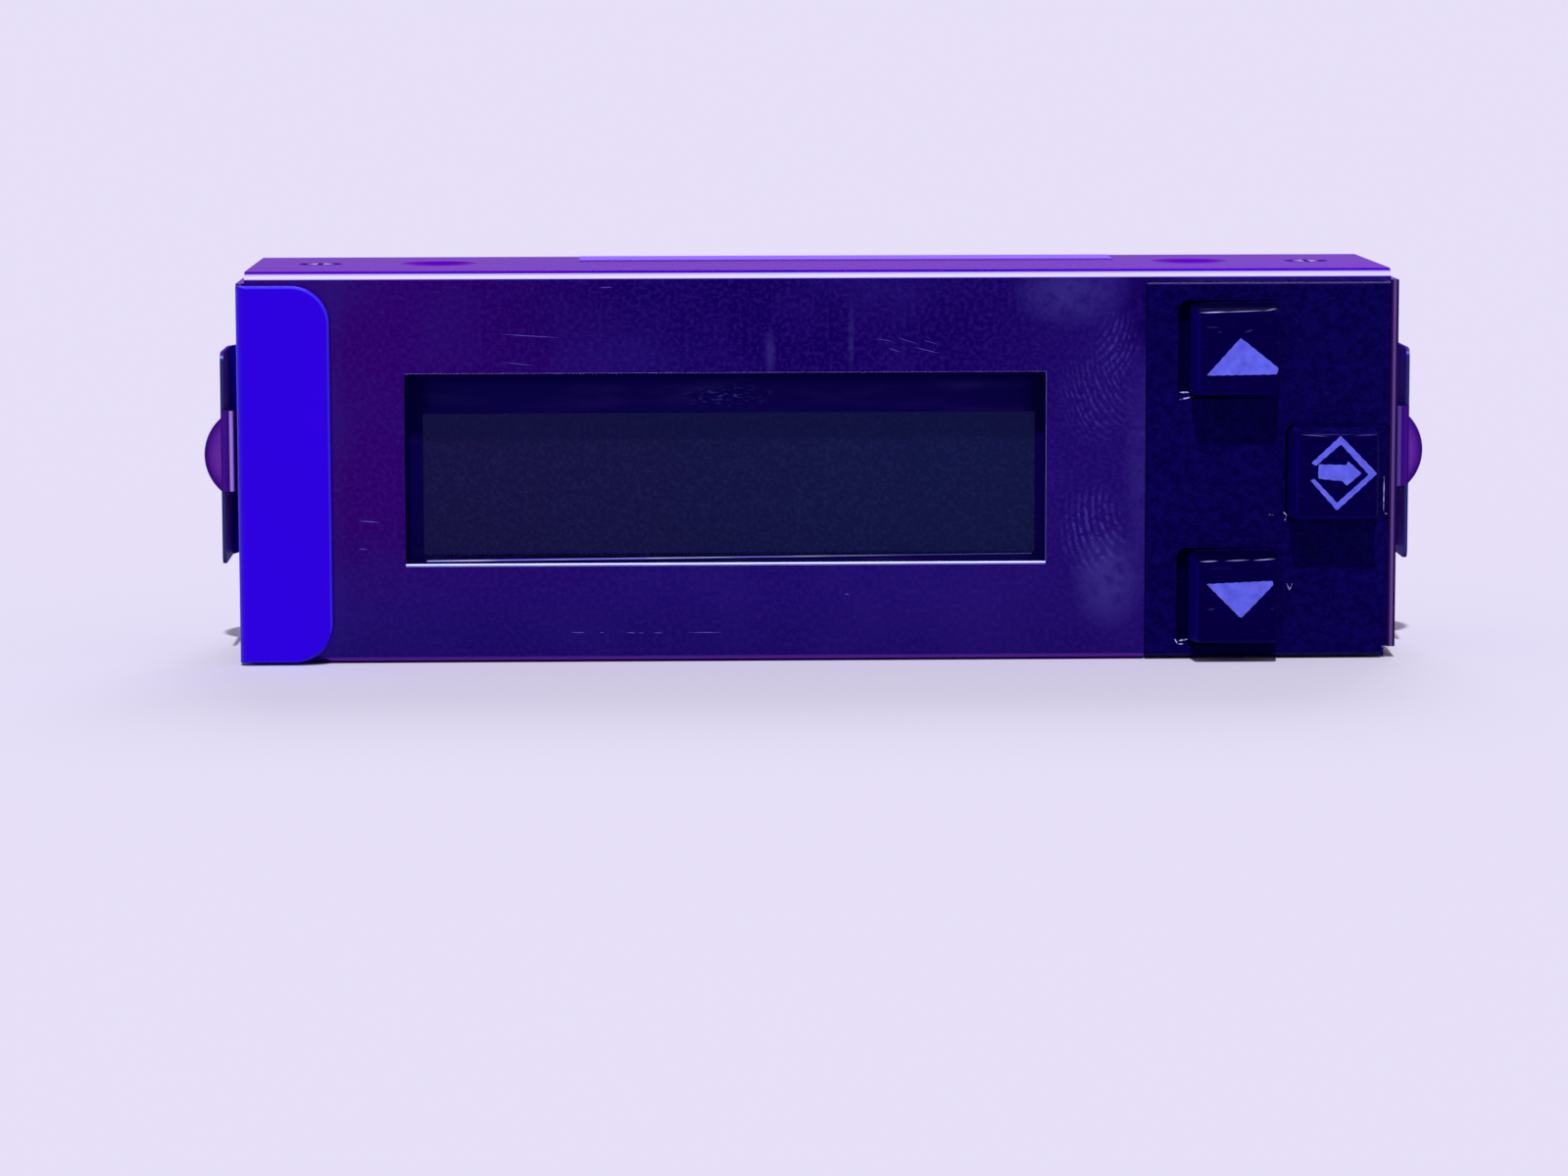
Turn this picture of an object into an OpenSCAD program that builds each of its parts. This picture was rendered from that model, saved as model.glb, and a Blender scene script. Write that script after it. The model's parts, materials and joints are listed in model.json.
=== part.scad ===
// Operator panel module: a character display and three push buttons in a folded sheet-steel box,
// with a touch tab on the front and a detent spring on each side. Sizes are in millimetres.
// Pieces are drawn with y = 0 on the steel front face, y growing to the back and z = 0 underneath.

/* [Shell] */
// Width over the side walls
shell_w = 120.8; // [112:0.1:140]
// Height over the folded cover
shell_h = 40.9; // [37:0.1:48]
// Depth from the front face to the back panel
shell_d = 27; // [24:0.5:36]
// Thickness of the plated sheet steel
sheet_t = 0.8; // [0.6:0.05:1]
// Outside radius of the folds
bend_r = 1.2; // [1.1:0.05:1.6]
// Clearance between the cover's cut edges and the side walls
side_gap = 0.1; // [0.05:0.05:0.3]
// How far the side walls stop short of the cover's outside at top and bottom
wall_inset = 1.2; // [1:0.1:2]
// Set-back of the side walls' front edges from the face
wall_setback = 0.3; // [0.2:0.1:1]

/* [Cover screws] */
// Distance of each screw from the middle of the width
screw_x = 52.5; // [48:0.5:54]
// Distance of each screw behind the face
screw_y = 14.6; // [9:0.1:14.8]
// Thread diameter
screw_d = 2.5; // [2:0.1:3]
// Diameter of the countersunk head
screw_head_d = 4.7; // [4:0.1:5.2]
// Length under the flush head face
screw_len = 4.5; // [3:0.1:4.5]
// Radial clearance of every screw in its hole
screw_gap = 0.05; // [0.03:0.01:0.1]
// Length of the chassis tab under each screw, along the depth
tab_len = 6.8; // [6:0.1:8]
// Reach of the chassis tab inwards from the wall
tab_reach = 12.8; // [11:0.1:15]
// Outside diameter of the drawn collar under each tab
collar_d = 4.4; // [4:0.1:5]
// Height of the drawn collar
collar_h = 1.2; // [0.8:0.1:2]

/* [Pressed dimples] */
// Distance of each dimple from the middle of the width
dimple_x = 40; // [38:0.5:44]
// Diameter of each dimple
dimple_d = 8.5; // [6:0.1:10]
// Depth of each dimple
dimple_depth = 0.4; // [0.2:0.05:0.6]

/* [Window] */
// Width of the window
window_w = 66.7; // [60:0.1:68]
// Height of the window
window_h = 19.9; // [16:0.1:22]
// Corner radius of the window
window_r = 0.5; // [0.3:0.1:2]
// Window centre from the middle of the width
window_x = -9.75; // [-11:0.05:-8]
// Window centre below the middle of the height
window_drop = 0.1; // [-1:0.1:1]

/* [Button bezel] */
// Width of the moulded bezel
bezel_w = 25.4; // [25:0.1:27]
// Bezel's top edge below the cover's top
bezel_head = 1.4; // [1.2:0.1:2]
// Bezel's bottom edge above the underside
bezel_foot = 0.3; // [0.2:0.1:0.6]
// Clearance round the bezel in its notch
bezel_gap = 0.1; // [0.05:0.05:0.3]
// Thickness of the bezel's plate
bezel_t = 2; // [1.6:0.1:2.4]
// Bevel along the plate's top and bottom front edges
bezel_bevel = 0.3; // [0.1:0.05:0.5]
// Width of the lip that sits behind the steel
lip_w = 3; // [2:0.1:4]
// How far the lip stops short of the bezel's top and bottom edges
lip_end = 3.4; // [2:0.1:8]
// Thickness of the rails behind the plate
rail_t = 1.2; // [0.8:0.1:1.4]
// Depth of the rails behind the plate
rail_d = 3.6; // [2:0.1:4]
// Diameter of the posts that stand on the main board
post_d = 3.4; // [3:0.1:4]
// Distance of the left post from the bezel's left edge
left_post_x = 3.4; // [3:0.1:4]
// Distance of the two right posts from the bezel's right edge
right_post_x = 3.2; // [3.1:0.1:3.4]
// Distance of the two right posts above and below the button centre line
right_post_z = 8.3; // [8:0.1:9]
// Width of the notch in the bezel's lower right corner
corner_notch_w = 0.6; // [0.3:0.1:1]
// Height of the notch in the bezel's lower right corner
corner_notch_h = 1; // [0.5:0.1:1.4]

/* [Buttons] */
// Distance of the up and down buttons from the bezel's left edge
column_x = 9.2; // [8.8:0.1:9.6]
// Distance of the enter button from the bezel's right edge
enter_x = 5.9; // [5.6:0.1:6]
// Bezel left below the down button's well
well_edge = 1.15; // [0.9:0.05:1.4]
// Button centre line below the middle of the height
button_drop = 0.9; // [0.6:0.1:1.1]
// Width of each well in the bezel
well_w = 11.1; // [10.8:0.1:11.4]
// Middle of the up and down wells left of their caps
well_shift = 0.4; // [0.2:0.1:0.5]
// Middle of the enter well right of its cap
enter_shift = 0.6; // [0.5:0.1:0.7]
// Height of each well in the bezel
well_h = 10.3; // [10:0.1:10.8]
// Corner radius of each well
well_r = 1; // [0.5:0.1:2]
// Width of a cap at the bezel
cap_w = 9.3; // [8.6:0.1:9.4]
// Height of a cap at the bezel
cap_h = 9.5; // [9:0.1:9.7]
// Inward slope of a cap's sides, from the bezel to its face
cap_lean = 0.35; // [0.1:0.05:0.6]
// Radius of a cap's edges
cap_edge_r = 0.5; // [0.3:0.05:0.8]
// How far a cap stands out of the face
cap_proud = 4; // [3:0.1:5]
// Reach of a cap's flange behind the bezel, past the well
flange_reach = 0.7; // [0.4:0.1:0.9]
// Inset of a cap's flange from the cap's top and bottom
flange_inset = 0.8; // [0.6:0.1:1.2]
// Thickness of a cap's flange
flange_t = 1.2; // [0.8:0.1:1.5]
// Gap between a cap's flange and the bezel
flange_gap = 0.1; // [0.1:0.05:0.3]
// Diameter of a cap's stem
stem_d = 4; // [3.6:0.1:4.6]

/* [Switches] */
// Side of a switch body
switch_w = 6; // [5.6:0.1:6.4]
// Height of a switch body
switch_h = 3.9; // [3.5:0.1:4.3]
// Thickness of a switch's floor
switch_floor = 0.6; // [0.4:0.1:0.8]
// Diameter of a switch's plunger
plunger_d = 3.4; // [3:0.1:3.6]
// Radial clearance of a plunger in its switch
plunger_gap = 0.3; // [0.3:0.05:0.4]
// Plunger standing out of its switch at rest
plunger_out = 1.9; // [1.2:0.1:2.4]
// Travel of a button
travel = 0.5; // [0.3:0.1:0.6]
// Room left under a plunger at the end of its travel
travel_room = 0.1; // [0.05:0.05:0.2]

/* [Touch tab] */
// Width of the touch tab
touch_w = 9.7; // [8:0.1:12]
// Inset of the touch tab's top edge from the cover's top
touch_top = 1.4; // [1:0.1:3]
// Inset of the touch tab's bottom edge from the underside
touch_foot = 0.3; // [0.2:0.1:3]
// Thickness of the touch tab
touch_t = 1.4; // [1:0.1:2]
// Radius of the touch tab's two inner corners
touch_r = 4; // [2:0.1:5]
// Radius of the rounding along the touch tab's outer edge
touch_edge_r = 1.2; // [0.6:0.1:1.3]
// Bevel along the touch tab's other front edges
touch_bevel = 0.25; // [0.1:0.05:0.4]
// Reach of the touch tab past the side wall
touch_over = 0; // [0:0.1:0.5]

/* [Top label] */
// Length of the bare label on top
label_w = 57.3; // [40:0.1:66]
// Depth of the label
label_d = 7.5; // [5:0.1:9]
// Thickness of the label
label_t = 0.1; // [0.05:0.05:0.2]
// Label centre from the middle of the width
label_x = 3.55; // [-2:0.05:6]
// Cover left behind the label
label_back = 0.9; // [0.5:0.1:2]

/* [Detent springs] */
// Height of a spring's leaf
leaf_h = 22.4; // [18:0.1:26]
// Leaf and dome's middle above the middle of the height
spring_rise = 0.35; // [0:0.05:1]
// Thickness of the spring steel
leaf_t = 0.35; // [0.25:0.05:0.5]
// Stand-off of a leaf's outer face from the side wall
leaf_stand = 2.4; // [2.2:0.1:3]
// Height of the tongue that carries the leaf
tongue_h = 8.5; // [7:0.1:10]
// Tongue's middle above the leaf's
tongue_rise = 0.9; // [0:0.1:1.5]
// Front of the tongue's bend behind the face
spring_y = 6.8; // [6:0.1:8]
// Length of the flat of the leaf
leaf_len = 9.6; // [9:0.1:11]
// Corner radius at the front of the leaf
leaf_r = 1; // [0.5:0.1:2]
// Length of the ramp at the back of the leaf
ramp_len = 4; // [3:0.1:5]
// Clearance of the ramp's end from the tongue
ramp_gap = 0.4; // [0.3:0.05:0.6]
// Diameter of the detent dome
dome_d = 8.4; // [7:0.1:9]
// Rise of the detent dome
dome_rise = 2.15; // [1.5:0.05:2.6]
// Shank diameter of the spring rivets
rivet_d = 1.8; // [1.5:0.1:2.2]
// Head diameter of the spring rivets
rivet_head_d = 3.2; // [2.8:0.1:3.6]
// Head height of the spring rivets
rivet_head_h = 0.6; // [0.4:0.1:0.8]
// Radial clearance of the rivets
rivet_gap = 0.05; // [0.03:0.01:0.1]
// Distance of the first rivet behind the tongue's bend
rivet_first = 6.4; // [5.5:0.1:7]
// Distance between the two rivets
rivet_pitch = 5.2; // [4.5:0.1:6]
// Tongue left behind the second rivet
tongue_end = 2.4; // [2:0.1:3]

/* [Display] */
// Width of the viewing area
view_w = 64.3; // [60:0.1:66]
// Height of the viewing area
view_h = 15.3; // [14:0.1:17]
// Viewing area's centre right of the window's
view_shift = 0.45; // [-1:0.05:1]
// Viewing area's centre below the window's
view_drop = 2.25; // [1.6:0.05:2.8]
// Depth of the display's frame behind the face
lcd_recess = 4.5; // [3:0.1:5]
// Width of the display's folded frame
lcd_frame_w = 71; // [69:0.1:71.2]
// Sheet thickness of the display's frame
lcd_frame_t = 0.5; // [0.4:0.05:0.6]
// Thickness of each glass plate
glass_t = 1.1; // [0.7:0.1:1.2]
// Clearance round the glass in its frame
glass_gap = 0.2; // [0.1:0.05:0.4]
// Ledge of the front glass that the contact strips press on
glass_ledge = 2.2; // [2:0.1:2.6]
// Thickness of the backlight
backlight_t = 2.6; // [2:0.1:3]
// Height of each contact strip
strip_h = 1.8; // [1.4:0.1:1.9]
// Width of the display's board
lcd_board_w = 80; // [79.6:0.1:82]
// Clearance below the display's board
lcd_board_gap = 1.4; // [1.2:0.1:1.5]
// Board left above and below the display's frame
lcd_margin = 2.9; // [2.7:0.1:3.2]
// Thickness of both boards
board_t = 1.6; // [1.2:0.1:1.8]
// Width of each locking tongue on the display's frame
lock_w = 3; // [2:0.1:4]
// Reach of each locking tongue behind the display's board
lock_out = 0.8; // [0.5:0.1:1.2]
// Pitch of the locking tongues
lock_pitch = 24; // [18:0.5:28]
// Clearance of the locking tongues in their slots
lock_gap = 0.2; // [0.1:0.05:0.3]
// Diameter of the driver blobs
blob_d = 12; // [8:0.5:14]
// Height of the driver blobs
blob_h = 2; // [1.2:0.1:2.4]
// Distance between the driver blobs
blob_pitch = 30; // [20:1:36]
// Number of pins in the display's header
lcd_pins = 16; // [8:1:16]
// Pitch of all header pins
header_pitch = 2.54; // [2:0.01:2.54]
// Side of all header pins
pin_w = 0.64; // [0.5:0.01:0.7]
// Thickness of the display header's strip
pin_strip_t = 2.5; // [2:0.1:3]
// Height of the display header's strip
pin_strip_h = 2.2; // [1.6:0.1:2.4]
// Length of the spacers between the boards
spacer_len = 5; // [4:0.1:6]
// Outside diameter of the spacers and standoffs
spacer_d = 5; // [4.6:0.1:5.2]
// Inset of the display board's holes from its edges
lcd_hole_inset = 2.2; // [2.1:0.1:2.3]
// Head diameter of the board screws
pan_head_d = 4; // [3.6:0.1:4.2]
// Head height of the board screws
pan_head_h = 1.6; // [1.2:0.1:2]
// Thread length of the board screws past the board
pan_bite = 3.5; // [2.5:0.1:4]

/* [Main board] */
// Clearance of the main board from the side walls
board_side_gap = 1.3; // [1:0.1:2]
// Clearance of the main board from the cover at top and bottom
board_end_gap = 2.5; // [2:0.1:3.5]
// Standoffs' distance from the main board's ends
standoff_end = 5.5; // [5:0.1:6]
// Standoffs' distance from the main board's top and bottom edges
standoff_inset = 3.5; // [3:0.1:4]
// Diameter of the standoffs' shank in the back panel
standoff_shank_d = 4; // [3.6:0.1:4.2]
// Side of the controller chip
chip_w = 14; // [10:0.1:16]
// Thickness of the controller chip
chip_t = 1.4; // [1:0.1:2]
// Controller chip's centre from the middle of the width
chip_x = 14; // [12:0.5:18]
// Width of the memory chip
memory_w = 5; // [4:0.1:6]
// Height of the memory chip
memory_h = 6; // [5:0.1:8]
// Thickness of the memory chip
memory_t = 1.6; // [1:0.1:2]
// Memory chip's centre from the middle of the width
memory_x = 32; // [30:0.5:36]
// Diameter of the round capacitors
capacitor_d = 5; // [4:0.1:6]
// Height of the round capacitors
capacitor_h = 5.4; // [4:0.1:6]
// Capacitors' distance from the middle of the width
capacitor_x = -44; // [-46:0.5:-42]
// Distance between the capacitors
capacitor_pitch = 9; // [8:0.5:12]

/* [Cable header] */
// Header's centre from the middle of the width
header_x = -20; // [-22:0.5:-14]
// Length of the header
header_w = 28; // [26:0.1:32]
// Height of the header across its rows
header_h = 8.8; // [8:0.1:9.4]
// Wall of the header's shroud
header_wall = 1.2; // [0.8:0.1:1.3]
// Floor of the header
header_floor = 2; // [1.5:0.1:2.5]
// Header's mouth inside the back panel's outer face
header_inset = 0.1; // [0.1:0.1:1]
// Length of the header's pins above its floor
header_pin_len = 4; // [3:0.1:5]
// Pins in each of the header's two rows
header_pins = 8; // [4:1:8]
// Width of the polarising slot
key_w = 4.5; // [3:0.1:5]
// Clearance round the header in the back panel
header_gap = 0.3; // [0.2:0.05:0.6]

/* [Hidden] */
$fn = 64;
cut = 1;

steel_colour = "#3a2f86";
spring_colour = "#5a4a9c";
touch_colour = "#2c00d8";
black_colour = "#0a0638";
frame_colour = "#0d0838";
glass_colour = "#1c2236";
white_colour = "#d4d6f4";
board_colour = "#1d5a34";
metal_colour = "#8f8cb4";
brass_colour = "#b49a58";

// Centre lines of the shell
wall_x = shell_w / 2;
inner_x = wall_x - sheet_t;
cover_w = 2 * (inner_x - side_gap);
mid_z = shell_h / 2;
depth_mid = (shell_d - cap_proud) / 2;
back_y = shell_d - sheet_t;

// Countersunk cover screws
screw_r = screw_d / 2;
screw_head_r = screw_head_d / 2;
screw_head_h = screw_head_r - screw_r;
tab_z = shell_h - 2 * sheet_t;
dimple_r = (dimple_d * dimple_d / 4 + dimple_depth * dimple_depth) / (2 * dimple_depth);

// Bezel and buttons
window_z = mid_z - window_drop;
bezel_right = inner_x - side_gap;
bezel_left = bezel_right - bezel_w;
bezel_low = bezel_foot;
bezel_high = shell_h - bezel_head;
bezel_mid = (bezel_low + bezel_high) / 2;
rail_low = sheet_t + bezel_gap;
button_z = mid_z - button_drop;
button_rise = button_z - bezel_low - well_edge - well_h / 2;
lip_len = bezel_high - bezel_low - 2 * lip_end;
up_at = [bezel_left + column_x, button_z + button_rise];
down_at = [bezel_left + column_x, button_z - button_rise];
enter_at = [bezel_right - enter_x, button_z];
wells = [up_at - [well_shift, 0], enter_at + [enter_shift, 0], down_at - [well_shift, 0]];
posts = [
    [bezel_left + left_post_x, button_z],
    [bezel_right - right_post_x, button_z + right_post_z],
    [bezel_right - right_post_x, button_z - right_post_z]
];
flange_y = bezel_t + flange_gap;
well_reach = well_w / 2 + flange_reach;

// Touch tab
touch_h = shell_h - touch_top - touch_foot;

// Top label
label_y = shell_d - label_back - label_d;

// Display stack, from its frame back to the main board
lcd_x = window_x + view_shift;
lcd_z = window_z - view_drop;
lcd_board_h = 2 * (lcd_z - sheet_t - lcd_board_gap);
lcd_frame_h = lcd_board_h - 2 * lcd_margin;
glass_y = lcd_recess + lcd_frame_t;
glass_w = lcd_frame_w - 2 * (lcd_frame_t + glass_gap);
glass_h = lcd_frame_h - 2 * (lcd_frame_t + glass_gap);
rear_glass_y = glass_y + glass_t;
rear_glass_h = glass_h - 2 * glass_ledge;
backlight_y = rear_glass_y + glass_t;
lcd_board_y = backlight_y + backlight_t;
lcd_rear_y = lcd_board_y + board_t;
main_y = lcd_rear_y + spacer_len;
main_rear_y = main_y + board_t;
lcd_hole_x = lcd_board_w / 2 - lcd_hole_inset;
lcd_hole_z = lcd_board_h / 2 - lcd_hole_inset;
strip_z = rear_glass_h / 2 + glass_ledge / 2;
lock_z = (lcd_frame_h - lcd_frame_t) / 2;
pin_strip_z = (lcd_frame_h + lcd_board_h) / 4;

// Switches and what presses them
switch_y = main_y - switch_h;
plunger_y = switch_y - plunger_out;
plunger_end = main_y - switch_floor - travel_room - travel;
stem_y = flange_y + flange_t;

// Main board and cable header
main_w = 2 * (inner_x - board_side_gap);
main_h = shell_h - 2 * (sheet_t + board_end_gap);
standoff_x = main_w / 2 - standoff_end;
standoff_z = main_h / 2 - standoff_inset;
header_end = shell_d - header_inset;

// Detent springs
spring_z = mid_z + spring_rise;
tongue_z = spring_z + tongue_rise;
leg_r = leaf_stand / 2;
leaf_y = spring_y + leg_r;
leaf_end = leaf_y + leaf_len;
dome_y = leaf_y + leaf_len / 2;
dome_r = (dome_d * dome_d / 4 + dome_rise * dome_rise) / (2 * dome_rise);
tongue_y = spring_y + rivet_first + rivet_pitch + tongue_end;
ramp_foot = leaf_t + ramp_gap;
rivets_y = [spring_y + rivet_first, spring_y + rivet_first + rivet_pitch];

// From the drawing frame to the part's frame, whose origin is under the middle of the box
module placed() {
    translate([0, -depth_mid, 0]) children();
}

// A flat outline in x and z, made a slab from y0 towards the back
module slab_y(y0, t) {
    translate([0, y0 + t, 0]) rotate([90, 0, 0]) linear_extrude(t) children();
}

// A flat outline in y and z, made a slab from x0 towards the right
module slab_x(x0, t) {
    translate([x0, 0, 0]) rotate([90, 0, 90]) linear_extrude(t) children();
}

// A flat outline in x and y, made a slab from z0 upwards
module slab_z(z0, t) {
    translate([0, 0, z0]) linear_extrude(t) children();
}

// A round bar along the depth, at a place in x and z
module rod_y(at, y0, len, d) {
    translate([at[0], y0, at[1]]) rotate([-90, 0, 0]) cylinder(h = len, d = d);
}

// A rectangle in x and z as a slab, centred on a place
module plate_y(at, w, h, y0, t) {
    translate([at[0] - w / 2, y0, at[1] - h / 2]) cube([w, t, h]);
}

// A rectangle with round corners, centred
module rounded_rect(w, h, r) {
    square([w - 2 * r, h], center = true);
    square([w, h - 2 * r], center = true);
    for (x = [-1, 1], y = [-1, 1]) {
        translate([x * (w / 2 - r), y * (h / 2 - r)]) circle(r);
    }
}

// A rectangle from the origin whose two corners on its first side are round
module nosed_rect(w, h, r) {
    translate([r, 0]) square([w - r, h]);
    translate([0, r]) square([w, h - 2 * r]);
    for (y = [r, h - r]) {
        translate([r, y]) circle(r);
    }
}

// One thing and its twin across the middle of the height
module top_and_bottom() {
    children();
    translate([0, 0, shell_h]) mirror([0, 0, 1]) children();
}

// One thing and its twin across the middle of the width
module left_and_right() {
    children();
    mirror([1, 0, 0]) children();
}

// Shape of a countersunk screw under the top face, larger all round by a clearance
module screw_form(gap, len) {
    translate([screw_x, screw_y, shell_h]) mirror([0, 0, 1]) {
        cylinder(h = screw_head_h, r1 = screw_head_r + gap, r2 = screw_r + gap);
        cylinder(h = len, r = screw_r + gap);
    }
}

// Round cap of a pressed dimple, a given amount below the top face
module dimple_form(below) {
    translate([dimple_x, screw_y, shell_h + dimple_r - dimple_depth - below]) sphere(dimple_r);
}

// The folded channel: front, top and bottom of one sheet
module cover_channel() {
    slab_x(-cover_w / 2, cover_w) difference() {
        nosed_rect(shell_d, shell_h, bend_r);
        translate([sheet_t, sheet_t]) nosed_rect(shell_d, shell_h - 2 * sheet_t, bend_r - sheet_t);
    }
}

// Inner side of a pressed dimple, where the sheet bulges in
module dimple_bulge() {
    intersection() {
        dimple_form(sheet_t);
        translate([dimple_x, screw_y, tab_z]) cylinder(h = sheet_t + sheet_t / 2, d = dimple_d);
    }
}

module front_cover() {
    color(steel_colour) placed() difference() {
        union() {
            cover_channel();
            left_and_right() dimple_bulge();
        }
        left_and_right() dimple_form(0);
        slab_y(-cut, bend_r + 2 * cut) {
            translate([window_x, window_z]) rounded_rect(window_w, window_h, window_r);
        }
        translate([bezel_left - bezel_gap, -cut, -cut]) {
            cube([bezel_w + bezel_gap + cut, bezel_t + bezel_gap + cut, bezel_high + bezel_gap + cut]);
        }
        top_and_bottom() left_and_right() screw_form(screw_gap, sheet_t + cut);
    }
}

// A tab folded in from the top of a side wall, with its drawn collar
module chassis_tab() {
    difference() {
        union() {
            translate([0, screw_y + tab_len / 2, 0]) rotate([90, 0, 0]) linear_extrude(tab_len) {
                translate([wall_x - tab_reach, tab_z]) square([tab_reach - sheet_t, sheet_t]);
                intersection() {
                    translate([inner_x, tab_z]) circle(sheet_t);
                    translate([inner_x, tab_z]) square(sheet_t);
                }
                translate([inner_x, shell_h - wall_inset - cut]) {
                    square([sheet_t, tab_z - shell_h + wall_inset + cut]);
                }
            }
            translate([screw_x, screw_y, tab_z - collar_h]) cylinder(h = collar_h, d = collar_d);
        }
        screw_form(screw_gap, screw_len + cut);
    }
}

module rear_chassis() {
    color(steel_colour) placed() {
        difference() {
            slab_z(wall_inset, shell_h - 2 * wall_inset) difference() {
                translate([0, shell_d]) rotate(-90) translate([0, -wall_x]) {
                    nosed_rect(shell_d - wall_setback, shell_w, bend_r);
                }
                translate([0, back_y]) rotate(-90) translate([0, -inner_x]) {
                    nosed_rect(shell_d, 2 * inner_x, bend_r - sheet_t);
                }
            }
            slab_y(back_y - cut, sheet_t + 2 * cut) translate([header_x, mid_z]) {
                square([header_w + 2 * header_gap, header_h + 2 * header_gap], center = true);
            }
            for (at = standoff_places()) {
                rod_y(at, back_y - cut, sheet_t + 2 * cut, standoff_shank_d + 2 * screw_gap);
            }
            left_and_right() for (y = rivets_y) {
                translate([inner_x - cut, y, tongue_z]) rotate([0, 90, 0]) {
                    cylinder(h = sheet_t + 2 * cut, d = rivet_d + 2 * rivet_gap);
                }
            }
        }
        top_and_bottom() left_and_right() chassis_tab();
    }
}

module cover_screws() {
    color(metal_colour) placed() top_and_bottom() left_and_right() difference() {
        screw_form(0, screw_len);
        for (turn = [0, 90]) {
            translate([screw_x, screw_y, shell_h]) rotate(turn) {
                cube([screw_d, screw_d / 4, screw_head_h], center = true);
            }
        }
    }
}

// Outline of the touch tab, drawn in from its outer edge and from its other edges
module touch_outline(outer_inset, inset) {
    w = touch_w - outer_inset - inset;
    h = touch_h - 2 * inset;
    r = touch_r - inset;
    translate([outer_inset - wall_x - touch_over, touch_foot + inset]) {
        square([w - r, h]);
        translate([0, r]) square([w, h - 2 * r]);
        for (z = [r, h - r]) {
            translate([w - r, z]) circle(r, $fn = 48);
        }
    }
}

module touch_tab() {
    layer = touch_bevel / 10;
    color(touch_colour) placed() hull() {
        for (angle = [0 : 15 : 90]) {
            rise = touch_t - touch_edge_r + touch_edge_r * sin(angle);
            bevel = max(0, rise - touch_t + touch_bevel);
            slab_y(-rise, layer) touch_outline(touch_edge_r * (1 - cos(angle)), bevel);
        }
        slab_y(-layer, layer) touch_outline(0, 0);
    }
}

module top_label() {
    color(white_colour) placed() translate([label_x - label_w / 2, label_y, shell_h]) {
        cube([label_w, label_d, label_t]);
    }
}

// Tongue of a right-hand spring: a leg on the wall and the bend that turns it outwards
module spring_tongue() {
    slab_z(tongue_z - tongue_h / 2, tongue_h) {
        translate([wall_x, leaf_y]) square([leaf_t, tongue_y - leaf_y]);
        intersection() {
            translate([wall_x + leg_r, leaf_y]) difference() {
                circle(leg_r);
                circle(leg_r - leaf_t);
            }
            translate([wall_x, spring_y]) square([leaf_stand, leg_r]);
        }
    }
}

// Leaf of a right-hand spring, flat at the front and ramped back to the wall behind
module spring_leaf() {
    outer_x = wall_x + leaf_stand;
    low = spring_z - leaf_h / 2;
    slab_x(outer_x - leaf_t, leaf_t) {
        translate([leaf_y, low]) nosed_rect(leaf_len, leaf_h, leaf_r);
        translate([leaf_y, tongue_z - tongue_h / 2]) square([leaf_len, tongue_h]);
    }
    slab_z(low, leaf_h) polygon([
        [outer_x - leaf_t, leaf_end],
        [outer_x, leaf_end],
        [wall_x + ramp_foot + leaf_t, leaf_end + ramp_len],
        [wall_x + ramp_foot, leaf_end + ramp_len]
    ]);
}

// Domed shell of a right-hand spring's detent, reaching a little way into the leaf round its foot
module spring_dome() {
    foot_r = dome_d / 2 + leaf_t / 2;
    translate([wall_x + leaf_stand, dome_y, spring_z]) rotate([0, 90, 0]) rotate_extrude() intersection() {
        translate([0, dome_rise - dome_r]) difference() {
            circle(dome_r);
            circle(dome_r - leaf_t);
        }
        translate([0, -leaf_t]) square([foot_r, dome_rise + leaf_t]);
    }
}

module detent_spring() {
    difference() {
        union() {
            spring_tongue();
            spring_leaf();
        }
        translate([wall_x + leg_r, dome_y, spring_z]) rotate([0, 90, 0]) {
            cylinder(h = leaf_stand, d = dome_d);
        }
        for (y = rivets_y) {
            translate([wall_x - cut, y, tongue_z]) rotate([0, 90, 0]) {
                cylinder(h = leg_r + cut, d = rivet_d + 2 * rivet_gap);
            }
        }
    }
    spring_dome();
}

module left_detent_spring() {
    color(spring_colour) placed() mirror([1, 0, 0]) detent_spring();
}

module right_detent_spring() {
    color(spring_colour) placed() detent_spring();
}

module spring_rivets() {
    color(metal_colour) placed() left_and_right() for (y = rivets_y) {
        translate([inner_x - rivet_head_h, y, tongue_z]) rotate([0, 90, 0]) {
            cylinder(h = rivet_head_h, d = rivet_head_d);
            cylinder(h = 2 * rivet_head_h + sheet_t + leaf_t, d = rivet_d);
            translate([0, 0, rivet_head_h + sheet_t + leaf_t]) cylinder(h = rivet_head_h, d = rivet_head_d);
        }
    }
}

// Front-to-back section of the bezel's plate, bevelled along its front edges
module bezel_plate() {
    slab_x(bezel_left, bezel_w) polygon([
        [0, bezel_low + bezel_bevel],
        [bezel_bevel, bezel_low],
        [bezel_t, bezel_low],
        [bezel_t, bezel_high],
        [bezel_bevel, bezel_high],
        [0, bezel_high - bezel_bevel]
    ]);
}

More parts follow.
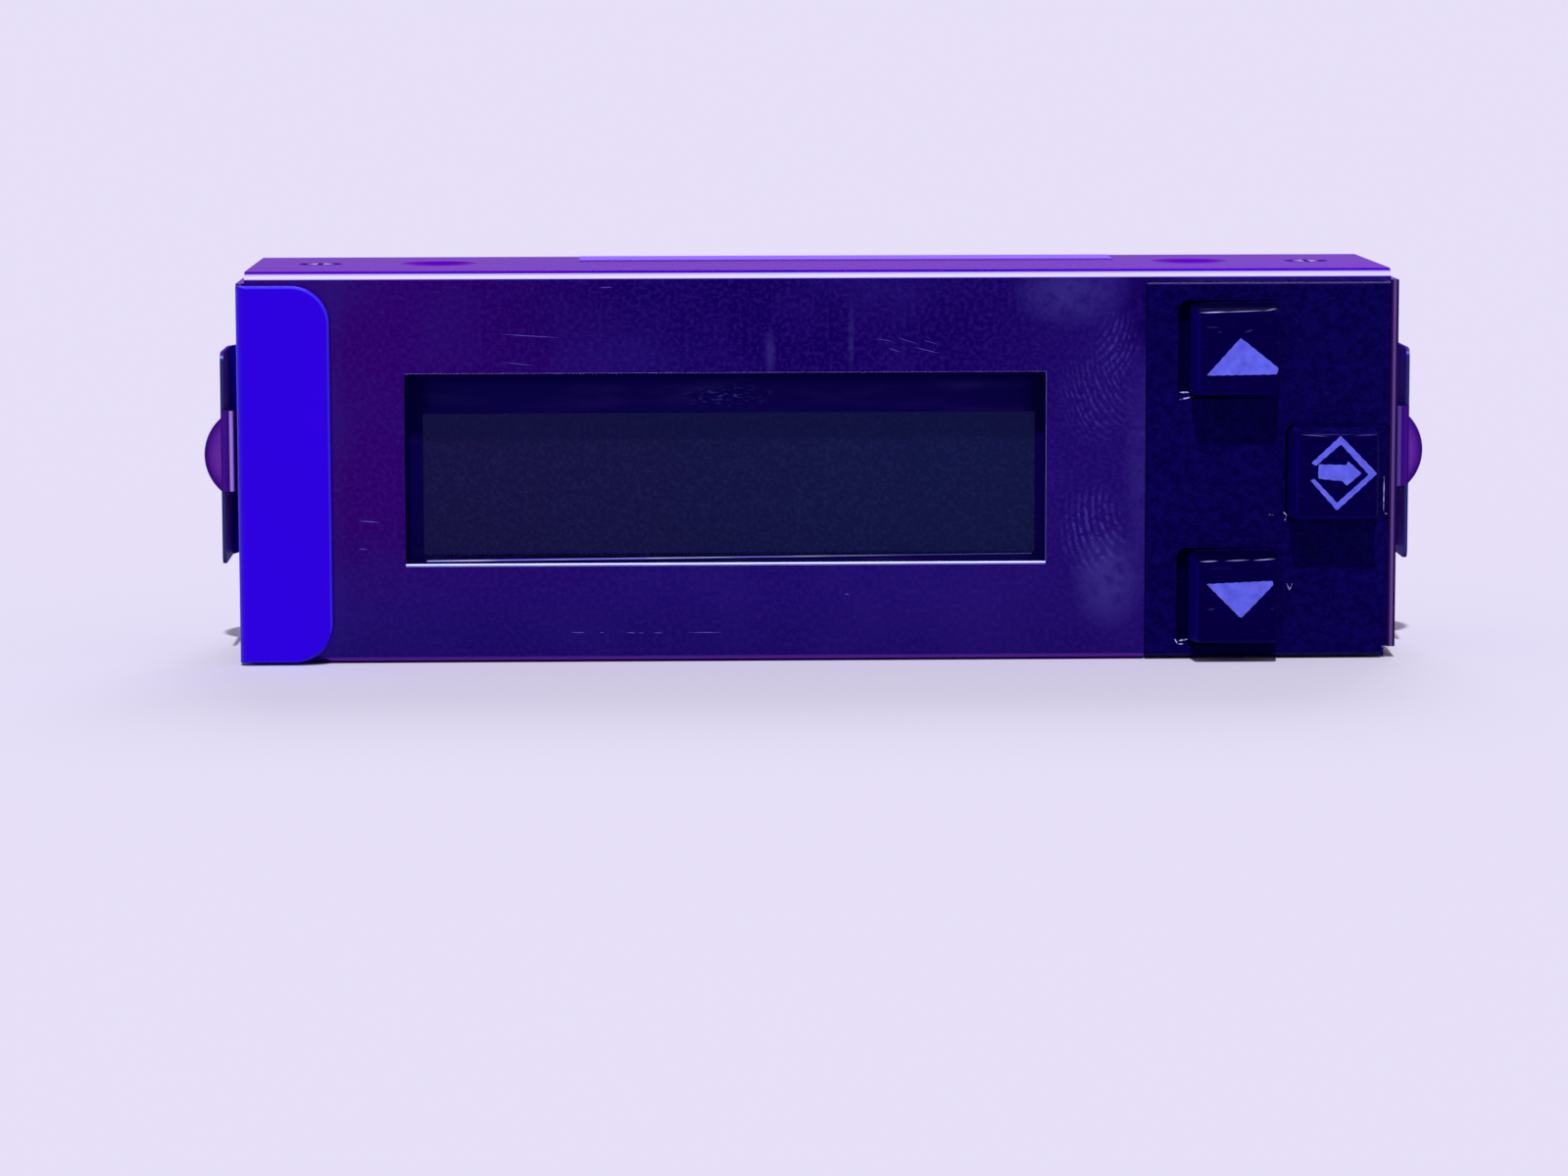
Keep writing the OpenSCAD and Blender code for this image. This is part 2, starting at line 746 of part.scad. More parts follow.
module button_bezel() {
    color(black_colour) placed() {
        difference() {
            union() {
                bezel_plate();
                plate_y([bezel_left, bezel_mid], 2 * lip_w, lip_len, sheet_t, bezel_t - sheet_t);
                for (x = [bezel_left, bezel_right - rail_t]) {
                    translate([x, bezel_t, rail_low]) cube([rail_t, rail_d, bezel_high - rail_low]);
                }
            }
            slab_y(-cut, bezel_t + rail_d + 2 * cut) for (at = wells) {
                translate(at) rounded_rect(well_w, well_h, well_r);
            }
            translate([bezel_right - corner_notch_w, -cut, bezel_low - cut]) {
                cube([corner_notch_w + cut, bezel_t + rail_d + 2 * cut, corner_notch_h + cut]);
            }
        }
        for (at = posts) {
            rod_y(at, bezel_t, main_y - bezel_t, post_d);
        }
    }
}

// A moulded cap: a drafted body with round edges, a flange on one or both sides and a stem
module button_cap(at, left_reach, right_reach) {
    face_w = cap_w - 2 * cap_lean;
    face_h = cap_h - 2 * cap_lean;
    r = cap_edge_r;
    flange_h = cap_h - 2 * flange_inset;
    color(black_colour) placed() translate([at[0], 0, at[1]]) {
        hull() for (x = [-1, 1], z = [-1, 1]) {
            translate([x * (face_w / 2 - r), r - cap_proud, z * (face_h / 2 - r)]) sphere(r, $fn = 32);
            translate([x * (cap_w / 2 - r), 0, z * (cap_h / 2 - r)]) {
                rotate([-90, 0, 0]) cylinder(h = flange_y, r = r, $fn = 32);
            }
        }
        translate([-left_reach, flange_y, -flange_h / 2]) {
            cube([left_reach + right_reach, flange_t, flange_h]);
        }
        rod_y([0, 0], stem_y, plunger_y - stem_y, stem_d);
    }
}

module up_button_cap() {
    button_cap(up_at, well_reach + well_shift, well_reach - well_shift);
}

module enter_button_cap() {
    button_cap(enter_at, well_reach - enter_shift, cap_w / 2 - flange_inset);
}

module down_button_cap() {
    button_cap(down_at, well_reach + well_shift, well_reach - well_shift);
}

module switch_plunger(at) {
    color(white_colour) placed() rod_y(at, plunger_y, plunger_end - plunger_y, plunger_d);
}

module up_switch_plunger() {
    switch_plunger(up_at);
}

module enter_switch_plunger() {
    switch_plunger(enter_at);
}

module down_switch_plunger() {
    switch_plunger(down_at);
}

module switch_body(at) {
    color(frame_colour) placed() difference() {
        plate_y(at, switch_w, switch_w, switch_y, switch_h);
        rod_y(at, switch_y - cut, switch_h - switch_floor + cut, plunger_d + 2 * plunger_gap);
    }
}

module up_switch_body() {
    switch_body(up_at);
}

module enter_switch_body() {
    switch_body(enter_at);
}

module down_switch_body() {
    switch_body(down_at);
}

// The display's locking tongues, larger all round by a clearance
module locking_tongues(gap, y0, len) {
    for (x = [-1, 0, 1], z = [-1, 1]) {
        plate_y(
            [lcd_x + x * lock_pitch, lcd_z + z * lock_z],
            lock_w + 2 * gap, lcd_frame_t + 2 * gap, y0, len
        );
    }
}

module lcd_frame() {
    at = [lcd_x, lcd_z];
    inner_w = lcd_frame_w - 2 * lcd_frame_t;
    inner_h = lcd_frame_h - 2 * lcd_frame_t;
    color(frame_colour) placed() {
        difference() {
            plate_y(at, lcd_frame_w, lcd_frame_h, lcd_recess, lcd_board_y - lcd_recess);
            plate_y(at, inner_w, inner_h, glass_y, lcd_board_y - glass_y + cut);
            plate_y(at, view_w, view_h, lcd_recess - cut, lcd_frame_t + 2 * cut);
        }
        locking_tongues(0, lcd_board_y, board_t + lock_out);
    }
}

module lcd_front_glass() {
    color(glass_colour) placed() plate_y([lcd_x, lcd_z], glass_w, glass_h, glass_y, glass_t);
}

module lcd_rear_glass() {
    color(glass_colour) placed() plate_y([lcd_x, lcd_z], glass_w, rear_glass_h, rear_glass_y, glass_t);
}

module lcd_contact_strips() {
    color(frame_colour) placed() for (z = [-1, 1]) {
        plate_y([lcd_x, lcd_z + z * strip_z], view_w, strip_h, rear_glass_y, lcd_board_y - rear_glass_y);
    }
}

module lcd_backlight() {
    color(white_colour) placed() {
        plate_y([lcd_x, lcd_z], glass_w, rear_glass_h, backlight_y, backlight_t);
    }
}

// Corner places of the display board's holes
function lcd_hole_places() = [
    for (x = [-1, 1], z = [-1, 1]) [lcd_x + x * lcd_hole_x, lcd_z + z * lcd_hole_z]
];

// Places of the main board's standoffs
function standoff_places() = [
    for (x = [-1, 1], z = [-1, 1]) [x * standoff_x, mid_z + z * standoff_z]
];

module lcd_board() {
    color(board_colour) placed() difference() {
        plate_y([lcd_x, lcd_z], lcd_board_w, lcd_board_h, lcd_board_y, board_t);
        locking_tongues(lock_gap, lcd_board_y - cut, board_t + 2 * cut);
        for (at = lcd_hole_places()) {
            rod_y(at, lcd_board_y - cut, board_t + 2 * cut, screw_d + 2 * screw_gap);
        }
    }
}

module lcd_driver_blobs() {
    blob_r = (blob_d * blob_d / 4 + blob_h * blob_h) / (2 * blob_h);
    color(frame_colour) placed() for (x = [-1, 1]) {
        translate([lcd_x + x * blob_pitch / 2, lcd_rear_y + blob_h - blob_r, lcd_z]) intersection() {
            sphere(blob_r, $fn = 180);
            translate([-blob_r, blob_r - blob_h, -blob_r]) cube(2 * blob_r);
        }
    }
}

// Places of the display header's pins
function lcd_pin_places() = [
    for (i = [0 : lcd_pins - 1]) [lcd_x + (i - (lcd_pins - 1) / 2) * header_pitch, lcd_z + pin_strip_z]
];

module lcd_header_strip() {
    color(frame_colour) placed() difference() {
        plate_y([lcd_x, lcd_z + pin_strip_z], lcd_pins * header_pitch, pin_strip_h, lcd_rear_y, pin_strip_t);
        for (at = lcd_pin_places()) {
            plate_y(at, pin_w, pin_w, lcd_rear_y - cut, pin_strip_t + 2 * cut);
        }
    }
}

module lcd_header_pins() {
    color(brass_colour) placed() for (at = lcd_pin_places()) {
        plate_y(at, pin_w, pin_w, lcd_rear_y, spacer_len);
    }
}

module lcd_spacers() {
    color(brass_colour) placed() for (at = lcd_hole_places()) {
        difference() {
            rod_y(at, lcd_rear_y, spacer_len, spacer_d);
            rod_y(at, lcd_rear_y - cut, spacer_len + 2 * cut, screw_d + 2 * screw_gap);
        }
    }
}

// A pan-head screw whose head stands in front of a board
module board_screw(at, y0) {
    rod_y(at, y0 - pan_head_h, pan_head_h, pan_head_d);
    rod_y(at, y0, board_t + pan_bite, screw_d);
}

module lcd_screws() {
    color(metal_colour) placed() for (at = lcd_hole_places()) {
        board_screw(at, lcd_board_y);
    }
}

module main_board() {
    color(board_colour) placed() difference() {
        plate_y([0, mid_z], main_w, main_h, main_y, board_t);
        for (at = standoff_places()) {
            rod_y(at, main_y - cut, board_t + 2 * cut, screw_d + 2 * screw_gap);
        }
    }
}

module board_standoffs() {
    color(brass_colour) placed() for (at = standoff_places()) {
        difference() {
            union() {
                rod_y(at, main_rear_y, back_y - main_rear_y, spacer_d);
                rod_y(at, back_y, sheet_t, standoff_shank_d);
            }
            rod_y(at, main_rear_y - cut, back_y - main_rear_y - sheet_t + cut, screw_d + 2 * screw_gap);
        }
    }
}

module board_screws() {
    color(metal_colour) placed() for (at = standoff_places()) {
        board_screw(at, main_y);
    }
}

module controller_chip() {
    color(frame_colour) placed() plate_y([chip_x, mid_z], chip_w, chip_w, main_rear_y, chip_t);
}

module memory_chip() {
    color(frame_colour) placed() plate_y([memory_x, mid_z], memory_w, memory_h, main_rear_y, memory_t);
}

module capacitors() {
    color(metal_colour) placed() for (z = [-1, 1]) {
        rod_y([capacitor_x, mid_z + z * capacitor_pitch / 2], main_rear_y, capacitor_h, capacitor_d);
    }
}

module cable_header() {
    at = [header_x, mid_z];
    cavity_y = main_rear_y + header_floor;
    cavity_d = header_end - cavity_y + cut;
    color(black_colour) placed() difference() {
        plate_y(at, header_w, header_h, main_rear_y, header_end - main_rear_y);
        plate_y(at, header_w - 2 * header_wall, header_h - 2 * header_wall, cavity_y, cavity_d);
        translate([header_x - key_w / 2, cavity_y, mid_z - header_h / 2 - cut]) {
            cube([key_w, cavity_d, header_wall + 2 * cut]);
        }
    }
}

module cable_header_pins() {
    pin_y = main_rear_y + header_floor;
    color(brass_colour) placed() for (i = [0 : header_pins - 1], row = [-1, 1]) {
        x = header_x + (i - (header_pins - 1) / 2) * header_pitch;
        plate_y([x, mid_z + row * header_pitch / 2], pin_w, pin_w, pin_y, header_pin_len);
    }
}

front_cover();
rear_chassis();
cover_screws();
touch_tab();
top_label();
left_detent_spring();
right_detent_spring();
spring_rivets();
button_bezel();
up_button_cap();
enter_button_cap();
down_button_cap();
up_switch_plunger();
enter_switch_plunger();
down_switch_plunger();
up_switch_body();
enter_switch_body();
down_switch_body();
lcd_frame();
lcd_front_glass();
lcd_rear_glass();
lcd_contact_strips();
lcd_backlight();
lcd_board();
lcd_driver_blobs();
lcd_header_strip();
lcd_header_pins();
lcd_spacers();
lcd_screws();
main_board();
board_standoffs();
board_screws();
controller_chip();
memory_chip();
capacitors();
cable_header();
cable_header_pins();
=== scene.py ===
"""Looks of an operator panel module: its finishes, the print on its buttons, its wear, and its studio.

Lengths are named in millimetres and become metres where they are used. Places are along the part's
length, its depth from front to back, and its height.
"""

import json
import math

import bmesh
import bpy
from mathutils import Matrix, Vector


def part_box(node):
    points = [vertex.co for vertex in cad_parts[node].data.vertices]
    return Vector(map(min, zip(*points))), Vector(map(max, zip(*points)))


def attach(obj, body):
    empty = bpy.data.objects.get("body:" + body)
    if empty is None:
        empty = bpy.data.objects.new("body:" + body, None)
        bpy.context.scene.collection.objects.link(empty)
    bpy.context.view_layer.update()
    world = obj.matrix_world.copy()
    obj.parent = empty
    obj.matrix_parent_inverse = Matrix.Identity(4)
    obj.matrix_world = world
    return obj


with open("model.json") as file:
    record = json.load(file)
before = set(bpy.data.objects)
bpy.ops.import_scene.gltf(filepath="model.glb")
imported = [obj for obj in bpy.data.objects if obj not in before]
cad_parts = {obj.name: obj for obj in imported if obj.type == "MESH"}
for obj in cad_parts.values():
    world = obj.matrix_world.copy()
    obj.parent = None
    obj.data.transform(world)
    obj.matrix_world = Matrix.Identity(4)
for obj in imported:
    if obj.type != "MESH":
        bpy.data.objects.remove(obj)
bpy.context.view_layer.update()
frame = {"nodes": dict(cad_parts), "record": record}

MM = 0.001

# Sockets of a node that mixes two colours: the share of the upper one, the lower one and the upper one
SHARE, UNDER, OVER = 0, 6, 7

# The view: a long lens half a metre in front of the face, a little above it and to its left
PHOTO_WIDTH = 1600
SENSOR_WIDTH = 36.0
FOCAL_PIXELS = 5104
CAMERA_AT = (-18.33, -529.78, 71.1)
CAMERA_PITCH = 6.967
CAMERA_YAW = 1.614
CAMERA_ROLL = -0.112

# The window in the steel face: left, right, bottom and top edge
WINDOW = (-43.1, 23.6, 10.4, 30.3)
# Radius of the window's lower edge, which carries a bright painted highlight, and of its upper and right
# edge, which carry faint ones
EDGE_RADII = {"lower": 0.19, "upper": 0.01, "right": 0.045}
# How far an edge's bead is let into the sheet, as a share of its radius, and the steps that round it
BEAD_INSET = 0.6
BEAD_STEPS = 4
# The lower edge of the display's film: its left end, its right end, which sits higher, and its radius
FILM_EDGE = (-41.1, 10.2, 22.5, 10.7)
FILM_EDGE_RADIUS = 0.1
# Places along the part between which the painted highlight along the film's edge fades out
FILM_FADE = (-20, 10)
# Places along the part between which the display drifts from violet to blue
DISPLAY_DRIFT = (-42, 10)
# Heights between which the display's frame goes into deep shade, and places between which its ends do
FRAME_SHADE = (28.7, 29.5)
FRAME_END_SHADES = [(-40.4, -41.4), (21.6, 22.5)]
# The patch of the display's frame that was rubbed in assembly: its middle and half its size
RUBBED_PATCH = ((-9.5, 27.5), (5.8, 1.4))

# The wells in the bezel: left, right, bottom and top edge of each. The enter well is open to the right.
WELLS = {
    "up": (37.35, 48.45, 27.35, 37.65),
    "enter": (48.65, 59.48, 14.4, 24.7),
    "down": (37.35, 48.45, 1.45, 11.75),
}
WELL_RADIUS = 1.0
# Steps that round a corner of a liner
CORNER_STEPS = 6
# Width and corner radius of a cap where it passes the bezel, and its clearance in the liner of its well
CAP_WIDTH = 9.3
CAP_RADIUS = 0.5
LINER_GAP = 0.03
# How far a liner reaches into the bezel, its depth behind the face, the same to the left of the cap,
# and its thickness
LINER_BITE = 0.1
LINER_DEPTH = 0.06
LINER_LEFT_DEPTH = 1.5
LINER_THICKNESS = 0.3
# Height of the web that closes the foot of a well to the left of its cap
WEB_HEIGHT = 0.73
# Place of the bezel's face, and the depths behind it over which the bezel loses the light
BEZEL_FACE = -11.5
DIM_DEPTHS = (0.2, 1.1)
# Height of the bezel's top edge, and how far below it the painted highlight on its bevel starts and is full
BEZEL_TOP = 39.5
BEVEL_HIGHLIGHT = (0.16, 0.1)
# Size and height of the bezel's grit
GRIT_SIZE = 0.3
GRIT_HEIGHT = 0.14

# How far a printed mark stands out of its cap, and how far it goes in
MARK_PROUD = 0.03
MARK_SUNK = 0.1
# Length of one step along a printed edge, how far the edge wavers, and how the waver runs on from step
# to step and from edge to edge
MARK_STEP = 0.35
MARK_WAVER = 0.035
WAVER_BY_STEP = 2.3
WAVER_BY_EDGE = 1.7
# How often the corners of a mark are cut, and where each cut meets an edge
CORNER_CUTS = 2
CUT_SHARES = (0.25, 0.75)

# Corners of the printed marks, from the middle of a cap's face
UP_MARK = [(-3.4, -2.4), (3.85, -2.3), (4.05, -1.65), (0.1, 1.5)]
DOWN_MARK = [(-3.25, 1.8), (3.65, 2.1), (3.75, 1.7), (0.5, -1.7), (0.2, -1.65)]
ENTER_DIAMOND = [
    (-2.75, 1.4), (0.29, 4.25), (4.12, 0.3), (-0.03, -3.53), (-2.83, -0.4),
    (-2.4, -0.22), (-0.03, -2.74), (3.24, 0.2), (0.3, 3.36), (-2.28, 1.12),
]
ENTER_ARROW = [
    (-2.0, 1.28), (0.9, 1.2), (1.05, 1.62), (2.48, 0.34), (0.98, -0.95), (0.5, -0.48), (-2.0, -0.2),
]

# Scratches in the steel face: the two ends and the width of each
SCRATCHES = [
    (-48.0, 15.0, -45.8, 14.85, 0.08), (-48.0, 12.1, -47.1, 12.0, 0.06),
    (-33.2, 34.4, -26.9, 34.0, 0.05), (-33.0, 31.5, -29.4, 31.1, 0.05), (-22.8, 39.2, -21.4, 39.2, 0.06),
    (-26.1, 3.2, -24.5, 3.15, 0.07), (-23.0, 3.15, -22.5, 3.15, 0.06), (-20.2, 3.15, -19.2, 3.1, 0.07),
    (-19.0, 3.1, -18.3, 3.1, 0.05), (-17.4, 3.1, -16.4, 3.1, 0.06), (-13.8, 3.1, -10.0, 3.1, 0.06),
    (5.83, 33.78, 7.67, 33.49, 0.05), (7.1, 32.79, 8.51, 32.36, 0.05), (8.09, 33.91, 10.21, 33.2, 0.04),
    (9.64, 32.92, 12.61, 32.2, 0.05), (10.77, 33.62, 12.18, 33.19, 0.04), (2.6, 7.1, 3.1, 7.0, 0.08),
]
# Painted glints on the bezel, most of them at the foot of a well, and one small scuff: the two ends and
# the width of each
BEZEL_GLINTS_AND_SCUFF = [
    (37.5, 28.05, 38.6, 28.05, 0.13), (37.37, 27.24, 39.05, 27.62, 0.11),
    (48.5, 15.5, 48.85, 15.1, 0.09), (48.85, 15.1, 48.66, 14.54, 0.09), (46.97, 15.2, 47.51, 15.16, 0.06),
    (37.6, 1.95, 38.6, 2.12, 0.15), (37.18, 2.2, 37.53, 1.62, 0.1), (37.53, 1.62, 38.14, 1.61, 0.1),
    (48.92, 7.98, 49.24, 7.21, 0.06), (49.24, 7.21, 49.53, 7.98, 0.06),
    (59.04, 19.3, 59.02, 15.4, 0.08), (59.15, 15.3, 59.45, 15.18, 0.12),
]
# How far a scratch or a painted glint stands out of its face, and how far it goes in
SCRATCH_PROUD = 0.008
SCRATCH_SUNK = 0.12
# Painted highlights along the caps' upper edges, and scuffs on their faces: the middle, half the length
# and width, the tilt in degrees, and the strength
CAP_HIGHLIGHTS_AND_SCUFFS = [
    (40.6, 36.64, 1.6, 0.065, 1.8, 0.9), (43.6, 36.72, 2.6, 0.05, 1.8, 0.5),
    (46.5, 36.86, 0.8, 0.065, 8.0, 0.35), (40.5, 35.1, 0.9, 0.08, -2.8, 0.03),
    (44.25, 34.7, 0.5, 0.08, 18.0, 0.07), (41.2, 34.6, 0.25, 0.08, -10.0, 0.03),
    (51.2, 23.82, 1.6, 0.07, -3.6, 0.12), (53.0, 23.9, 2.8, 0.05, -1.0, 0.04),
    (56.6, 23.84, 1.4, 0.07, 2.4, 0.07), (40.3, 10.76, 1.05, 0.065, 2.0, 0.6),
    (43.25, 10.84, 1.4, 0.06, 2.0, 0.4), (46.1, 10.9, 1.3, 0.065, 3.0, 0.5),
    (40.6, 5.75, 0.4, 0.08, 9.0, 0.06), (46.95, 5.75, 0.3, 0.08, -4.0, 0.03),
]
# Left of this line lie the up and the down cap, and right of it the enter cap
ENTER_SIDE = 48.6
# Sizes of the scuffs on the caps
CAP_SCUFFS = (0.9, 0.9, 0.3)

# Heights between which the steel's colour drifts, and places along the part between which it drifts
# to the left and to the right. The drift to the left comes in between heights of its own.
STEEL_RISE = (8, 33)
STEEL_LEFTWARD = (-18, -46)
STEEL_LEFT_RISE = (4, 16)
STEEL_RIGHTWARD = (12, 30)
# Fingerprints on the steel face: the middle and half the size of each, and the middle, spacing and strength
# of its ridges
FINGERPRINTS = [
    ((28.6, 13.4), (3.9, 5.6), (32.4, 15.6), 0.7, 0.52),
    ((28.8, 27.6), (4.4, 5.4), (34.0, 33.0), 0.5, 0.34),
    ((31.0, 33.0), (2.6, 3.8), (28.0, 36.8), 0.56, 0.46),
]
# How much taller than wide the rings of a fingerprint are
RIDGE_STRETCH = 1.5
# A ring wave of scale 1 repeats after this length
RING_PERIOD = math.tau / 20
# Smears on the steel face, and a dark patch beside the bezel: the middle, half the size, the strength and
# the tone of each
SMEARS = [
    ((33.9, 20.5), (2.5, 14.0), 0.22, "#4c4096"), ((30.2, 8.4), (4.2, 5.6), 0.5, "#4c4096"),
    ((26.2, 38.6), (6.6, 4.0), 0.4, "#4c4096"), ((34.6, 36.8), (4.6, 7.0), 1.0, "#130052"),
    ((-5.1, 32.4), (0.7, 3.0), 0.3, "#4c4096"), ((3.3, 34.0), (0.4, 4.6), 0.25, "#4c4096"),
]
# Half the depth of an oval spot on a face: more than the part's, so that the spot reaches its face
SPOT_DEPTH = 60
# A paler band on the face beside the touch tab: its middle and how far it reaches
TAB_BAND = -50.4
TAB_BAND_REACH = 1.4
# Directions of the hairlines on the steel, in degrees from the length of the part, and their size
HAIRLINE_TURNS = (6, -28, 52)
HAIRLINE_SIZE = (5, 5, 0.1)
# The inside of the side walls and the painted highlight along their cut ends, from the middle of the width,
# and how far from its middle the highlight starts and is full
WALL_INSIDE = 59.55
WALL_EDGE_HIGHLIGHT = 60.0
EDGE_HIGHLIGHT_REACH = (0.2, 0.1)

# How far a surface turns, as a part of its normal: forward on the steel face and on the front edge of
# a leaf, up or down on the flat of a screw's head
FACE_FORWARD = -0.9
LEAF_FORWARD = -0.4
HEAD_FLAT = 0.9
# The same where a finish starts and where it is full: on the steel's upper fold, with its painted
# highlight, from below and from above, on its level top, and on the caps' upper sides, painted darker as
# shade, and their left or lower sides, painted bluer as fill light
UPPER_FOLD_LOW = (0.3, 0.4)
UPPER_FOLD_HIGH = (0.84, 0.76)
LEVEL_TOP = (0.97, 0.99)
CAP_UPPER_SIDE = (0.75, 0.9)
CAP_OTHER_SIDES = (-0.3, -0.8)
# The same on the steel's lower fold and on the bevels of the touch tab and the bezel, which carry painted
# highlights, where two parts of the normal are multiplied
LOWER_FOLD = (0.36, 0.47)
TAB_BEVEL = (-0.3, -0.48)
BEZEL_BEVEL = (-0.42, -0.48)

# The front of the springs' bends, how far back their painted dark reflection reaches, and how far behind
# the front the painted highlight on the crest starts and is full
BEND_FRONT = -4.7
BEND_REACH = 1.0
CREST_HIGHLIGHT_REACH = (0.03, 0.008)
# Places along the part between which the painted highlights on the crests go from weak, on the right, to
# full, on the left
CREST_HIGHLIGHT_DRIFT = (10, 0)
# The front edge of the springs' leaves, the depth that counts as edge, and the inner side of the leaves
LEAF_FRONT = -3.45
LEAF_EDGE = 0.4
LEAF_INSIDE = 62.5

# The axes of the cover's screws, from the middle of the width, the reach of their heads, and the radii
# between which the painted glint in the middle of a head comes in
SCREW_AXIS = (52.5, 3.1)
SCREW_REACH = 2.6
SCREW_GLINT = (1.5, 0.9)

FLOOR_RADIUS = 30.0
FLOOR_SIDES = 64


def linear(colour):
    """An sRGB hex colour as the linear values that a shader takes."""
    channels = [int(colour[i:i + 2], 16) / 255 for i in (1, 3, 5)]
    return [c / 12.92 if c <= 0.04045 else ((c + 0.055) / 1.055) ** 2.4 for c in channels] + [1.0]


def mm(*sizes):
    """Sizes in millimetres as metres."""
    return [size * MM for size in sizes]


def feed(node, inputs):
    """Sets inputs of a shader node. An input takes a value, a hex colour, or the node that feeds it."""
    for key, value in inputs.items():
        if isinstance(value, bpy.types.Node):
            value = next(output for output in value.outputs if output.enabled)
        if isinstance(value, bpy.types.NodeSocket):
            node.id_data.links.new(value, node.inputs[key])
        else:
            node.inputs[key].default_value = linear(value) if isinstance(value, str) else value


def add(tree, kind, inputs=None, **settings):
    """Adds a shader node with its settings and its inputs."""
    node = tree.nodes.new("ShaderNode" + kind)
    for name, value in settings.items():
        setattr(node, name, value)
    feed(node, inputs or {})
    return node


def new_material(name, **sockets):
    """A new material, its tree, its shader with these sockets set, and the object coordinates."""
    material = bpy.data.materials.new(name)
    material.use_nodes = True
    tree = material.node_tree
    tree.nodes.clear()
    shader = add(tree, "BsdfPrincipled", {key.replace("_", " "): value for key, value in sockets.items()})
    add(tree, "OutputMaterial", {"Surface": shader})
    return material, tree, shader, add(tree, "TexCoord").outputs["Object"]


def veil(tree, place, under, over, grain, ends=(0.0, 1.0), strength=1.0, detail=2.0, rough=0.5, turn=0.0):
    """One tone over another in patches drawn by a noise, with grains of this size in mm along each axis.

    A patch starts where the noise reaches the first of its ends, and has its full strength at the second.
    """
    size = {"Vector": place, "Rotation": (0, math.radians(turn), 0), "Scale": mm(*grain)}
    size = add(tree, "Mapping", size, vector_type="TEXTURE")
    noise = add(tree, "TexNoise", {"Vector": size, "Scale": 1.0, "Detail": detail, "Roughness": rough})
    share = {"Value": noise, "From Min": ends[0], "From Max": ends[1], "To Max": strength}
    share = add(tree, "MapRange", share)
    return add(tree, "Mix", {SHARE: share, UNDER: under, OVER: over}, data_type="RGBA")


def oval(tree, place, middle, half_size, full, strength, tilt=0.0):
    """How strongly an oval spot shows: not at all at its rim, and in full from this share of the way in."""
    spot = {"Vector": place, "Rotation": (0, math.radians(-tilt), 0)}
    spot["Location"] = mm(middle[0], 0, middle[1])
    spot["Scale"] = mm(half_size[0], SPOT_DEPTH, half_size[1])
    spot = add(tree, "Mapping", spot, vector_type="TEXTURE")
    reach = add(tree, "TexGradient", {"Vector": spot}, gradient_type="SPHERICAL").outputs["Fac"]
    return add(tree, "MapRange", {"Value": reach, "From Max": full, "To Max": strength})


def plain_finish(name, under, over, grain, ends=(0.0, 1.0), detail=2.0, **sockets):
    """A material in two tones, with its shader's own sockets set."""
    material, tree, shader, place = new_material(name, **sockets)
    feed(shader, {"Base Color": veil(tree, place, under, over, grain, ends, detail=detail)})
    return material


def plating_tone(tree, place, spot):
    """The plating's colour: it drifts over the sheet, under a soft haze and a fine mottle."""
    low, high = mm(*STEEL_RISE)
    rise = add(tree, "MapRange", {"Value": spot["Z"], "From Min": low, "From Max": high})
    tone = add(tree, "Mix", {SHARE: rise, UNDER: "#20106c", OVER: "#130058"}, data_type="RGBA")
    low, high = mm(*STEEL_LEFT_RISE)
    above = add(tree, "MapRange", {"Value": spot["Z"], "From Min": low, "From Max": high})
    start, end = mm(*STEEL_LEFTWARD)
    leftward = {"Value": spot["X"], "From Min": start, "From Max": end, "To Max": above}
    leftward = add(tree, "MapRange", leftward)
    tone = add(tree, "Mix", {SHARE: leftward, UNDER: tone, OVER: "#34026a"}, data_type="RGBA")
    start, end = mm(*STEEL_RIGHTWARD)
    rightward = add(tree, "MapRange", {"Value": spot["X"], "From Min": start, "From Max": end})
    tone = add(tree, "Mix", {SHARE: rightward, UNDER: tone, OVER: "#200d68"}, data_type="RGBA")
    tone = veil(tree, place, tone, "#2c1a78", (12, 12, 12), (0.45, 0.7), strength=0.45)
    return veil(tree, place, tone, "#36187c", (0.5, 0.5, 0.5), (0.44, 0.68), strength=0.6, rough=0.6)


